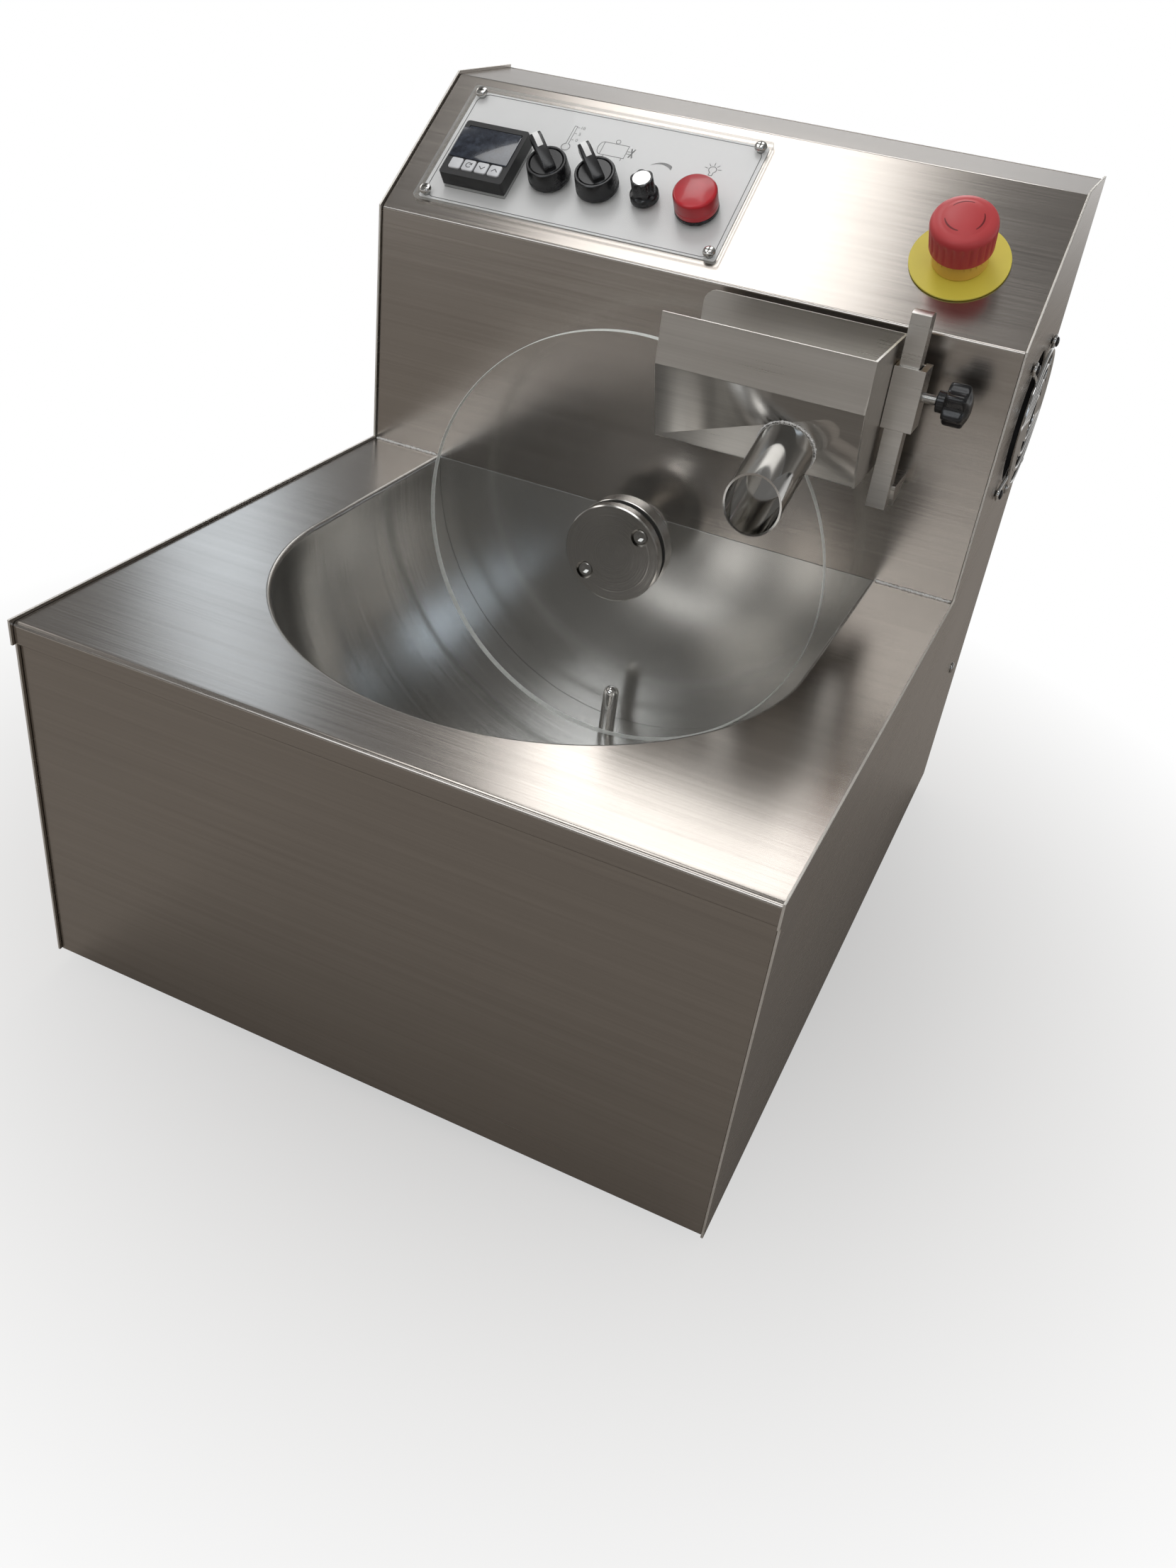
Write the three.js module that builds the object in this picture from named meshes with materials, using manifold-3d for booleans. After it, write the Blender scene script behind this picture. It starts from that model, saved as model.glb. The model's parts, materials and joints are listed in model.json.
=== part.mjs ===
// A countertop chocolate tempering machine: a trough bowl let into a low deck, a clear wheel that lifts the
// chocolate, a scraper box with a spout that strips it, and a raised back with a sloped console.
// Millimetres, +Z up. X runs across the front and Y from the front to the back.
import * as THREE from "three";
import { mergeVertices, toCreasedNormals } from "three/addons/utils/BufferGeometryUtils.js";
import Module from "manifold-3d";

const wasm = await Module();
wasm.setup();

// Sizes that every piece shares
const seat = 0.3; // gap between two pieces that touch
const overrun = 4; // how far a cut runs past a face
const sheet = 1.5;
const bend = 1.5; // inner radius of a sheet bend
const weldDistance = 0.001; // points closer than this are one point

// Housing, as its side panels show it
const bodyWidth = 440;
const bodyDepth = 537.5;
const bodyHeight = 472.5;
const deckEdgeHeight = 235.5;
const topDepth = 78; // the flat top, front to back
const consoleRun = 100.2; // the sloped console in side view: its depth and its rise
const consoleRise = 75.4;
const lipStep = 3;
const lipDepth = 15.5;
const edgeProud = 2; // how far the side panels stand proud of the sheets between them
const flangeWidth = 15;
const riserSkirt = 30; // how far the riser runs down behind the deck
const trayWall = 20;
const footInset = 36;
const footHeight = 12;
const footTopRadius = 15;
const footBottomRadius = 12.5;
const studRadius = 2.5;
const studLength = 9;

// Back cover and mains inlet
const ventRows = 7;
const ventLength = 80;
const ventHeight = 4;
const ventPitch = 11;
const ventDrop = 182.5; // from the top of the side panels to the lowest slots
const ventOffset = 95;
const inletInset = 70; // from the left side
const inletHeight = 62;
const inletFlangeWidth = 50;
const inletFlangeHeight = 24;
const inletFlange = 2.6;
const inletCorner = 4;
const inletBodyWidth = 28;
const inletBodyHeight = 20;
const inletBodyDepth = 18;
const socketWidth = 24;
const socketHeight = 16;
const socketDepth = 15;
const socketChamfer = 4;
const pinPitch = 7;
const pinWidth = 2;
const pinHeight = 4;
const pinLength = 12;

// Bowl
const bowlRadius = 163.3;
const bowlCentreY = 206;
const rimRadius = 3;
const backPlateMargin = 10;
const matThickness = 3;
const matFront = 19; // from the bowl's centre to the mat
const matBack = 41.3; // from the mat to the riser
const probeX = 1.5;
const probeInset = 21.3; // from the riser
const probeRadius = 5.8;
const probeHeight = 38.3; // above the bowl's bottom
const probeNutRadius = 9.2;
const probeNutHeight = 6;
const probeTail = 10;
const probeTailRadius = 3;

// Wheel, hub and drive
const wheelInset = 45.3; // from the riser to the middle of the disc
const wheelDrop = 6.5; // from the bowl's axis down to the wheel's
const wheelClearance = 13.3; // from the disc to the bottom of the bowl
const discThickness = 5;
const hubRadius = 33.8;
const hubChamfer = 0.8;
const capThickness = 7.2;
const hubFlangeThickness = 11.5;
const spigotRadius = 12;
const capWeb = 2.4; // what the cap keeps in front of the spigot
const hubBossRadius = 15;
const hubBossLength = 21;
const shaftRadius = 6;
const shaftGap = 3; // between the shaft's end and the floor of its bore
const screwPitchRadius = 24.6;
const screwAngle = 43;
const screwHeadRadius = 5;
const screwHeadHeight = 5;
const screwRecess = 0.8;
const screwShankRadius = 3;
const screwShankLength = 12;
const screwSocketRadius = 2.9;
const screwSocketDepth = 2.6;
const counterboreRadius = 6.1;
const bushingFlangeRadius = 17;
const bushingFlange = 3;
const bushingRadius = 11;
const bushingLength = 9;
const bracketSheet = 3;
const bracketReach = 22;
const bracketHalfWidth = 50;
const bracketFoot = 24;
const bracketMargin = 8;
const gearSize = 80;
const gearCorner = 7;
const gearLength = 43;
const gearOffset = 10; // the output shaft sits this far above the gearbox's middle
const gearBossRadius = 19;
const gearBoss = 2.5;
const gearBoreDepth = 32;
const motorLength = 85;
const motorRadius = 37.5;
const motorPlate = 8;
const motorRibDepth = 2;
const motorCapRadius = 30;
const motorCap = 10;

// Scraper box, spout and clamp
const boxLeft = 24;
const boxRight = 152;
const boxReach = 44; // from the wheel's plane to the box's front
const slantRun = 18; // how far the slanted face goes back
const boxRear = 29;
const boxDip = 50.5; // how far the box's floor lies below the top of the disc
const slantDrop = 49;
const boxHeight = 79;
const boxBend = 0.8;
const boxCorner = 8;
const slotPast = 11.7; // how far the slot runs past the disc
const slotClearance = 1;
const spoutX = 108.3;
const spoutRise = 16; // from the box's floor to the spout's root
const spoutRadius = 17.5;
const spoutWall = 1.2;
const spoutReach = 40; // from the box's front to the spout's mouth
const sleeveRise = 29; // from the box's floor to the sleeve
const sleeveHeight = 37;
const sleeveWeb = 2;
const sleeveFlange = 4;
const sleeveSlack = 0.8; // play on the side that the clamp screw presses
const sleeveFlangeReach = 3; // how far the threaded flange runs past the back web
const postSize = 12;
const postSetback = 14; // from the wheel's plane to the middle of the post
const postBelow = 21; // how far the post runs below the box's floor, and above the box
const postAbove = 17;
const postCrown = 1.5;
const armWidth = 14.5;
const armHeight = 14;
const armSlope = 10;
const clampRise = 20.5; // from the sleeve's lower end to the clamp screw
const clampScrewRadius = 3;
const clampScrewOut = 28;
const threadClearance = 0.3;
const knobStart = 9; // from the sleeve's flange to the knob
const knobLength = 20.5;
const knobRadius = 13;
const knobHollow = 3.4;
const knobNeckRadius = 6.5;
const knobNeck = 5;
const knobRound = 2.5;
const knobBoreDepth = 15;

// Fan in the right side panel
const fanInset = 76.5; // from the rear edge
const fanDrop = 140.5; // from the top edge
const fanSize = 92;
const fanDepth = 25;
const fanCorner = 6;
const fanBore = 43.5;
const fanHoleSpacing = 82.5;
const fanHoleRadius = 2.2;
const fanHubRadius = 18;
const fanHubWall = 2.5;
const fanStrutWidth = 5;
const fanPlate = 3.2;
const fanPinRadius = 2;
const rotorDepth = 18;
const bladeTipGap = 1.2;
const bladeThickness = 1.4;
const bladeCount = 7;
const bladeRootAngle = 42;
const bladeTipAngle = 62;
const bladeRootHalfChord = 8.5;
const bladeTipHalfChord = 12;
const wireRadius = 1.3;
const guardRingGap = 4; // from the panel to the guard's rings
const guardRadius = 44.5;
const guardRingStep = 10;
const guardRings = 4;
const guardRingSides = 20;
const guardRingFewer = 3; // each ring further in has so many sides fewer
const guardEyeRadius = 3.8;
const guardShoulder = 4;

// Console: u runs across, v up the slope from the fold and w off the sheet
const coverInset = 20; // from the left side
const coverWidth = 220;
const coverBottom = 12.5;
const coverHeight = 102.3;
const coverThickness = 2.5;
const coverCorner = 2;
const labelThickness = 0.4;
const labelMargin = 2.5;
const holeClearance = 0.6;
const plateScrewInsetU = 7.4;
const plateScrewInsetV = 6.4;
const plateScrewRadius = 2;
const plateScrewHeadRadius = 4.2;
const plateScrewHead = 2.4;
const plateScrewLength = 9;
const caseShare = 0.1809; // places of the controls along the plate's width
const heatShare = 0.3918;
const motorShare = 0.5509;
const speedShare = 0.7068;
const lampShare = 0.8718;
const caseRise = 37.6; // places of the controls above the plate's lower edge
const selectorRise = 38.2;
const speedRise = 37;
const lampRise = 37.3;
const caseSize = 47;
const caseCorner = 2;
const caseBezel = 10;
const caseBodySize = 44.6;
const caseBodyDepth = 58;
const windowWidth = 39;
const windowHeight = 24;
const windowCentreV = 7;
const windowDepth = 1.2;
const keyWidth = 8.6;
const keyHeight = 9;
const keyPitch = 9.7;
const keyCentreV = -14;
const keyDepth = 2.2;
const keyProud = 0.8;
const keyTravel = 0.5;
const keyCorner = 1.4;
const selectorRestAngle = 45;
const barrelRadius = 11;
const nutRadius = 14.5;
const nutThickness = 5;
const barrelDepth = 20;
const contactWidth = 28;
const contactHeight = 36;
const contactDepth = 26;
const bezelRadius = 14.4;
const bezelTopRadius = 13.5;
const bezelHeight = 12.6;
const bezelRound = 1;
const dishRadius = 11.4;
const dishDepth = 2.6;
const pivotRadius = 5;
const pivotDepth = 9;
const leverWidth = 8;
const leverTail = 9;
const leverTip = 17.5;
const leverTipHeight = 9.5;
const leverTailHeight = 3.5;
const leverTipThickness = 7;
const leverCorner = 0.9;
const handleDisc = 2;
const potCanRadius = 8.5;
const potCanDepth = 12;
const potBushRadius = 4.4;
const potNutRadius = 6.2;
const potNutThickness = 2.2;
const spindleRadius = 3;
const spindleDepth = 8;
const speedSkirtRadius = 9.5;
const speedTopRadius = 7.9;
const speedKnobHeight = 16.5;
const speedSkirtHeight = 5;
const speedHollow = 1.1;
const speedWall = 1.7;
const lampRadius = 14.5;
const lampHeight = 16.9;
const lampRound = 3;
const lampRingHeight = 2.4;
const stopInset = 58.7; // from the right side
const stopV = 55.5;
const stopPlateRadius = 30.5;
const stopPlate = 1.2;
const stopCollarRadius = 16.8;
const stopCollarHeight = 13.5; // all heights of the stop button are off the console sheet
const stopRimRadius = 19.4;
const stopRimHeight = 14;
const stopWideRadius = 20.1;
const stopWideHeight = 29;
const stopShoulderRadius = 17.4;
const stopShoulderHeight = 34;
const stopTopHeight = 37.3;
const stopCeiling = 20.5;
const stopStemRadius = 6;
const stopStemTop = 27;
const stopStemDepth = 12;
const stopTravel = 4;
const stopHollow = 0.8;

// Counts of steps and sides
const bendSteps = 2;
const cornerSteps = 3;
const bowlArcSteps = 9;
const bowlTurnSides = 36;
const matSteps = 12;
const discSides = 64;
const hubSides = 24;
const roundSides = 18;
const smallSides = 12;
const tinySides = 8;
const wireSides = 4;
const screwSides = 6;
const spokeSteps = 5;
const endSteps = 1; // steps in the corners of slots and keys

const range = (count) => Array.from({ length: count }, (_, i) => i);
const radians = THREE.MathUtils.degToRad;

// Shapes

function circle(radius, sides, [a, b] = [0, 0]) {
  return range(sides).map((i) => {
    const angle = (2 * Math.PI * i) / sides;
    return [a + radius * Math.cos(angle), b + radius * Math.sin(angle)];
  });
}

function rectangle(width, height, [a, b] = [0, 0]) {
  return [
    [a - width / 2, b - height / 2],
    [a + width / 2, b - height / 2],
    [a + width / 2, b + height / 2],
    [a - width / 2, b + height / 2],
  ];
}

// Rounds an outline's corners. Radii are one number, or one for each corner, and a corner of 0 stays sharp.
function rounded(outline, radii, steps = cornerSteps) {
  return outline.flatMap((point, i) => {
    const radius = Array.isArray(radii) ? radii[i] : radii;
    if (!radius) return [point];
    const corner = new THREE.Vector2(...point);
    const toNeighbour = (k) => {
      const neighbour = new THREE.Vector2(...outline.at((i + k) % outline.length));
      return neighbour.sub(corner).normalize();
    };
    const before = toNeighbour(-1);
    const after = toNeighbour(1);
    const half = Math.acos(THREE.MathUtils.clamp(before.dot(after), -1, 1)) / 2;
    const inward = before.clone().add(after).normalize();
    const centre = corner.clone().addScaledVector(inward, radius / Math.sin(half));
    const start = corner.clone().addScaledVector(before, radius / Math.tan(half)).sub(centre);
    const end = corner.clone().addScaledVector(after, radius / Math.tan(half)).sub(centre);
    const turn = Math.atan2(start.cross(end), start.dot(end));
    return range(steps + 1).map((k) => {
      const spoke = start.clone().rotateAround(new THREE.Vector2(), (turn * k) / steps);
      return [centre.x + spoke.x, centre.y + spoke.y];
    });
  });
}

// Moves an open path sideways, to its left, with mitred corners.
function sidestep(path, distance) {
  const headings = path.slice(1).map(([a, b], i) => {
    const [fromA, fromB] = path[i];
    return new THREE.Vector2(a - fromA, b - fromB).normalize();
  });
  return path.map(([a, b], i) => {
    const before = headings[Math.max(i - 1, 0)];
    const after = headings[Math.min(i, headings.length - 1)];
    const reach = distance / (1 + before.dot(after));
    return [a - (before.y + after.y) * reach, b + (before.x + after.x) * reach];
  });
}

// Outline of a bent sheet that lies to the right of a path, with its near face inset from the path.
function bentSheet(path, inset, thickness = sheet, radius = bend) {
  const turns = path.map(([a, b], i) => {
    if (i === 0 || i === path.length - 1) return 0;
    const before = new THREE.Vector2(a - path[i - 1][0], b - path[i - 1][1]);
    const after = new THREE.Vector2(path[i + 1][0] - a, path[i + 1][1] - b);
    return Math.sign(before.cross(after));
  });
  const radiusOn = (side) => turns.map((turn) => turn && (turn === side ? radius : radius + thickness));
  const near = sidestep(path, -inset);
  const far = sidestep(path, -inset - thickness).reverse();
  return rounded([...near, ...far], [...radiusOn(1), ...radiusOn(-1).reverse()], bendSteps);
}

const xAxis = new THREE.Vector3(1, 0, 0);
const yAxis = new THREE.Vector3(0, 1, 0);
const zAxis = new THREE.Vector3(0, 0, 1);
const extrudeFrames = {
  x: new THREE.Matrix4().makeBasis(yAxis, zAxis, xAxis),
  y: new THREE.Matrix4().makeBasis(xAxis, zAxis, yAxis.clone().negate()),
  z: new THREE.Matrix4(),
};

// Extrudes an outline along an axis: (y, z) along x, (x, z) along y or (x, y) along z.
function extrude(outline, from, to, axis = "z", holes = []) {
  const points = (list) => list.map(([a, b]) => new THREE.Vector2(a, b));
  const shape = new THREE.Shape(points(outline));
  shape.holes = holes.map((hole) => new THREE.Path(points(hole)));
  const geometry = new THREE.ExtrudeGeometry(shape, { depth: to - from, bevelEnabled: false });
  geometry.applyMatrix4(extrudeFrames[axis]);
  const start = { x: [from, 0, 0], y: [0, to, 0], z: [0, 0, from] }[axis];
  return geometry.translate(...start);
}

function box([x0, x1], [y0, y1], [z0, z1]) {
  const geometry = new THREE.BoxGeometry(x1 - x0, y1 - y0, z1 - z0);
  return geometry.translate((x0 + x1) / 2, (y0 + y1) / 2, (z0 + z1) / 2);
}

function rod(radius, from, to, axis = "z", sides = roundSides, centre = [0, 0]) {
  return extrude(circle(radius, sides, centre), from, to, axis);
}

// Turns a profile of [radius, height] points about an axis; it starts and ends on the axis
function turned(profile, sides = roundSides, axis = "z") {
  const points = profile.map(([radius, height]) => new THREE.Vector2(radius, height));
  if (THREE.ShapeUtils.area(points) < 0) points.reverse();
  if (points[0].x !== 0) points.push(points[0].clone());
  const geometry = new THREE.LatheGeometry(points, sides);
  if (axis === "z") geometry.rotateX(Math.PI / 2);
  if (axis === "x") geometry.rotateZ(-Math.PI / 2);
  return geometry;
}

// Turns a closed surface's triangles round where they face inwards.
function outward(geometry) {
  const [a, b, c] = range(3).map(() => new THREE.Vector3());
  const place = geometry.getAttribute("position");
  const corners = geometry.index.array;
  const volume = range(corners.length / 3).reduce((sum, i) => {
    a.fromBufferAttribute(place, corners[3 * i]);
    b.fromBufferAttribute(place, corners[3 * i + 1]);
    c.fromBufferAttribute(place, corners[3 * i + 2]);
    return sum + a.dot(b.cross(c));
  }, 0);
  if (volume < 0) geometry.setIndex(Array.from(corners).reverse());
  return geometry;
}

// Skins a stack of closed rings that have equally many points. A flat section shows how the end rings are
// capped, and without one the end rings are single points.
function skin(rings, section) {
  const count = rings[0].length;
  const index = [];
  range(rings.length - 1).forEach((ring) =>
    range(count).forEach((i) => {
      const a = ring * count + i;
      const b = ring * count + ((i + 1) % count);
      index.push(a, b, b + count, a, b + count, a + count);
    }),
  );
  if (section) {
    const last = (rings.length - 1) * count;
    const flat = section.map(([a, b]) => new THREE.Vector2(a, b));
    THREE.ShapeUtils.triangulateShape(flat, []).forEach(([a, b, c]) => {
      index.push(c, b, a, last + a, last + b, last + c);
    });
  }
  const geometry = new THREE.BufferGeometry().setFromPoints(rings.flat());
  return outward(geometry.setIndex(index));
}

// Sweeps a section, whose points run anticlockwise, along frames that each place a point of it in space.
function sweep(section, frames) {
  return skin(frames.map((frame) => section.map(([a, b]) => frame(a, b))), section);
}

// A turned shape with hollows round its rim: each row is [radius, height, depth of the hollows].
function fluted(rows, hollows, stepsPerHollow) {
  const sides = hollows * stepsPerHollow;
  const ring = ([radius, height, depth = 0]) =>
    range(sides).map((i) => {
      const angle = (2 * Math.PI * i) / sides;
      const reach = radius - (depth * (1 - Math.cos(hollows * angle))) / 2;
      return new THREE.Vector3(reach * Math.cos(angle), reach * Math.sin(angle), height);
    });
  return skin(rows.map(ring));
}

// A round wire along a path of points.
function wire(points, radius, sides, steps) {
  const places = points.map((point) => new THREE.Vector3(...point));
  const path = new THREE.CatmullRomCurve3(places, false, "chordal");
  const section = new THREE.Shape(circle(radius, sides).map(([a, b]) => new THREE.Vector2(a, b)));
  return new THREE.ExtrudeGeometry(section, { steps, extrudePath: path, bevelEnabled: false });
}

// Joins and cuts

function solidOf(geometry) {
  const places = geometry.getAttribute("position").clone();
  const bare = new THREE.BufferGeometry().setAttribute("position", places);
  if (geometry.index) bare.setIndex(geometry.index.clone());
  const merged = mergeVertices(bare, weldDistance);
  const corners = merged.index.array;
  const kept = range(corners.length / 3)
    .map((i) => Array.from(corners.slice(3 * i, 3 * i + 3)))
    .filter(([a, b, c]) => a !== b && b !== c && c !== a);
  const mesh = new wasm.Mesh({
    numProp: 3,
    vertProperties: merged.getAttribute("position").array,
    triVerts: new Uint32Array(kept.flat()),
  });
  return new wasm.Manifold(mesh);
}

function geometryOf(solid) {
  const { vertProperties, triVerts, numProp } = solid.getMesh();
  const geometry = new THREE.BufferGeometry();
  geometry.setAttribute("position", new THREE.BufferAttribute(vertProperties, numProp));
  return geometry.setIndex(new THREE.BufferAttribute(triVerts, 1));
}

function join(...geometries) {
  return geometryOf(geometries.map(solidOf).reduce((whole, next) => whole.add(next)));
}

function cut(geometry, ...tools) {
  return geometryOf(tools.map(solidOf).reduce((left, tool) => left.subtract(tool), solidOf(geometry)));
}

// Materials

const finish = (color, metalness, roughness, more = {}) =>
  new THREE.MeshStandardMaterial({ color, metalness, roughness, ...more });
const brushedSteel = finish(0xa9a39c, 1, 0.35);
const polishedSteel = finish(0xc9c7c4, 1, 0.15);
const turnedSteel = finish(0xb5b1ab, 1, 0.25);
const chromeWire = finish(0xd8d8d8, 1, 0.1);
const clearPlastic = finish(0xf2f4f4, 0, 0.05, { transparent: true, opacity: 0.25 });
const printedLabel = finish(0xd3d3d1, 0, 0.6);
const blackPlastic = finish(0x15161a, 0, 0.45);
const displayGlass = finish(0x232a38, 0, 0.1);
const whiteKey = finish(0xd9dadb, 0, 0.4);
const redLens = finish(0xc4141c, 0, 0.2);
const redPlastic = finish(0xcf2f35, 0, 0.45);
const yellowPlastic = finish(0xe8d848, 0, 0.5);
const orangePlastic = finish(0xe0b04c, 0, 0.5);
const siliconeMat = finish(0xb5552b, 0, 0.7);
const blackRubber = finish(0x1c1c1c, 0, 0.9);
const castAluminium = finish(0x9a9c9e, 0.9, 0.5);
const paintedMotor = finish(0x3a3d42, 0.2, 0.5);
const zincSteel = finish(0xb9bcbe, 1, 0.4);
const whiteBush = finish(0xe6e4dc, 0, 0.6);

const creaseAngle = radians(30);

function piece(name, geometry, material, parent) {
  const mesh = new THREE.Mesh(toCreasedNormals(geometryOf(solidOf(geometry)), creaseAngle), material);
  mesh.name = name;
  parent.add(mesh);
  return mesh;
}

// Places that several pieces share
const halfInside = bodyWidth / 2 - sheet - seat; // half the width of the sheets between the side panels
const lipBottom = deckEdgeHeight - lipDepth;
const deckTop = deckEdgeHeight - edgeProud;
const consoleBack = bodyDepth - topDepth;
const riserEdge = consoleBack - consoleRun;
const foldHeight = bodyHeight - consoleRise;
const riserFace = riserEdge + edgeProud;
const bodyTop = bodyHeight - edgeProud;
const coverInner = bodyDepth - sheet;
const flangeBack = coverInner - seat; // rear face of the flanges that the back cover screws to
const slope = Math.atan2(consoleRise, consoleRun);
const bowlAxis = deckTop - rimRadius;
const bowlOuter = bowlRadius + sheet;
const wallRear = riserFace + sheet;
const guardProud = guardRingGap + 2 * wireRadius;
const coverTop = 2 * seat + labelThickness + coverThickness;
const probeY = riserFace - probeInset;
const wheelY = riserFace - wheelInset;
const wheelHeight = bowlAxis - wheelDrop;
const discRadius = bowlRadius - wheelDrop - wheelClearance;
const fanY = bodyDepth - fanInset;
const fanHeight = bodyHeight - fanDrop;

const machine = new THREE.Group();
const consoleGroup = new THREE.Group();
const consoleY = riserEdge + edgeProud * Math.sin(slope);
const consoleZ = foldHeight - edgeProud * Math.cos(slope);
consoleGroup.position.set(0, consoleY, consoleZ);
consoleGroup.rotation.x = slope;
consoleGroup.updateMatrix();
machine.add(consoleGroup);
const onConsole = (geometry) => geometry.applyMatrix4(consoleGroup.matrix);

// Side panels: the stepped outline, a return flange for the back cover and, on the right, the fan's opening

function sidePanel(name, side) {
  const across = (near, far) => (side > 0 ? [-far, -near] : [near, far]);
  const outline = [
    [0, 0],
    [bodyDepth, 0],
    [bodyDepth, bodyHeight],
    [consoleBack, bodyHeight],
    [riserEdge, foldHeight],
    [riserEdge, deckEdgeHeight],
    [-lipStep, deckEdgeHeight],
    [-lipStep, lipBottom],
    [0, lipBottom],
  ];
  const returnFlange = box(
    across(sheet / 2, sheet + flangeWidth),
    [flangeBack - sheet, flangeBack],
    [trayWall + seat, bodyTop - flangeWidth - seat],
  );
  let panel = join(extrude(outline, ...across(0, sheet), "x"), returnFlange);
  if (side > 0) {
    const through = across(-overrun, sheet + overrun);
    const half = fanHoleSpacing / 2;
    const corners = rectangle(fanHoleSpacing, fanHoleSpacing, [fanY, fanHeight]);
    panel = cut(
      panel,
      rod(fanBore, ...through, "x", hubSides, [fanY, fanHeight]),
      ...corners.map((corner) => rod(fanHoleRadius, ...through, "x", tinySides, corner)),
    );
  }
  const mesh = piece(name, panel, brushedSteel, machine);
  mesh.position.x = (side * bodyWidth) / 2;
}

sidePanel("side_panel_left", -1);
sidePanel("side_panel_right", 1);

// Sheets between the side panels

function frontPanel() {
  const top = deckTop - sheet - seat + edgeProud;
  const path = [
    [0, 0],
    [0, top],
    [edgeProud + flangeWidth, top],
  ];
  const panel = extrude(bentSheet(path, edgeProud), -halfInside, halfInside, "x");
  piece("front_panel", panel, brushedSteel, machine);
}

// Outline of the bowl's opening in plan, open at the back
function openingOutline(radius, back) {
  const arc = range(2 * bowlArcSteps + 1).map((i) => {
    const angle = (-Math.PI * i) / (2 * bowlArcSteps);
    return [radius * Math.cos(angle), bowlCentreY + radius * Math.sin(angle)];
  });
  return [[radius, back], ...arc, [-radius, back]];
}

function deck() {
  const path = [
    [-lipStep, lipBottom],
    [-lipStep, deckEdgeHeight],
    [riserFace - seat, deckEdgeHeight],
  ];
  const hem = box(
    [-halfInside, halfInside],
    [edgeProud - lipStep + sheet / 2, edgeProud - seat],
    [lipBottom, deckTop - sheet / 2],
  );
  const bent = extrude(bentSheet(path, edgeProud), -halfInside, halfInside, "x");
  const opening = openingOutline(bowlRadius + rimRadius + seat, riserFace + overrun);
  const hole = extrude(opening, deckTop - sheet - overrun, deckTop + overrun);
  piece("deck", cut(join(bent, hem), hole), brushedSteel, machine);
}

frontPanel();
deck();

// Places of the controls on the console, and those in the plate with the radius of their holes
const coverLeft = coverInset - bodyWidth / 2;
const coverRight = coverLeft + coverWidth;
const coverTopEdge = coverBottom + coverHeight;
const onPlate = (share, rise) => [coverLeft + share * coverWidth, coverBottom + rise];
const casePlace = onPlate(caseShare, caseRise);
const heatPlace = onPlate(heatShare, selectorRise);
const motorPlace = onPlate(motorShare, selectorRise);
const speedPlace = onPlate(speedShare, speedRise);
const lampPlace = onPlate(lampShare, lampRise);
const stopPlace = [bodyWidth / 2 - stopInset, stopV];
const barrelHole = barrelRadius + holeClearance;
const plateControls = [
  { at: heatPlace, hole: barrelHole },
  { at: motorPlace, hole: barrelHole },
  { at: speedPlace, hole: potBushRadius + holeClearance },
  { at: lampPlace, hole: barrelHole },
];
const plateScrews = [coverLeft + plateScrewInsetU, coverRight - plateScrewInsetU].flatMap((u) =>
  [coverBottom + plateScrewInsetV, coverTopEdge - plateScrewInsetV].map((v) => [u, v]),
);

// Outlines of the holes that run through the cover, the label and the console sheet
function consoleHoles() {
  return [
    ...plateControls.map(({ at, hole }) => circle(hole, smallSides, at)),
    ...plateScrews.map((at) => circle(plateScrewRadius + holeClearance, tinySides, at)),
    rectangle(caseBodySize + 2 * holeClearance, caseBodySize + 2 * holeClearance, casePlace),
  ];
}

const plateHalfWidth = bowlOuter + backPlateMargin;

// Hole for the shaft's bush, through whatever stands in the riser's plane
function bushHole() {
  const through = [riserFace - overrun, wallRear + overrun];
  return rod(bushingRadius + seat, ...through, "y", roundSides, [0, wheelHeight]);
}

function riserConsole() {
  const rear = flangeBack + edgeProud;
  const path = [
    [riserEdge, deckTop - riserSkirt],
    [riserEdge, foldHeight],
    [consoleBack, bodyHeight],
    [rear, bodyHeight],
    [rear, bodyTop - flangeWidth],
  ];
  const bent = extrude(bentSheet(path, edgeProud), -halfInside, halfInside, "x");
  const notchWidth = plateHalfWidth + seat;
  const notch = box(
    [-notchWidth, notchWidth],
    [riserFace - overrun, wallRear + overrun],
    [deckTop - riserSkirt - overrun, deckTop],
  );
  const stopHole = circle(barrelHole, smallSides, stopPlace);
  const holes = [...consoleHoles(), stopHole].map((hole) => {
    return onConsole(extrude(hole, -sheet - overrun, overrun));
  });
  piece("riser_console", cut(bent, notch, bushHole(), ...holes), brushedSteel, machine);
}

function backCover() {
  const outline = rectangle(2 * halfInside, bodyTop, [0, bodyTop / 2]);
  const ventBottom = bodyHeight - ventDrop;
  const slots = range(ventRows).flatMap((row) =>
    [-ventOffset, ventOffset].map((x) => {
      const slot = rectangle(ventLength, ventHeight, [x, ventBottom + row * ventPitch]);
      return rounded(slot, ventHeight * roundEndShare, endSteps);
    }),
  );
  const inletHole = rectangle(
    inletBodyWidth + 2 * holeClearance,
    inletBodyHeight + 2 * holeClearance,
    [inletX, inletHeight],
  );
  const cover = extrude(outline, coverInner, bodyDepth, "y", [...slots, inletHole]);
  piece("back_cover", cover, brushedSteel, machine);
}

function baseTray() {
  const front = edgeProud + sheet + seat;
  const pan = box([-halfInside, halfInside], [front, flangeBack], [0, trayWall]);
  const hollow = box(
    [sheet - halfInside, halfInside - sheet],
    [front + sheet, flangeBack - sheet],
    [sheet, trayWall + overrun],
  );
  const studHoles = footPlaces.map((at) =>
    rod(studRadius + holeClearance, -overrun, sheet + overrun, "z", tinySides, at),
  );
  piece("base_tray", cut(pan, hollow, ...studHoles), zincSteel, machine);
}

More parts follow.
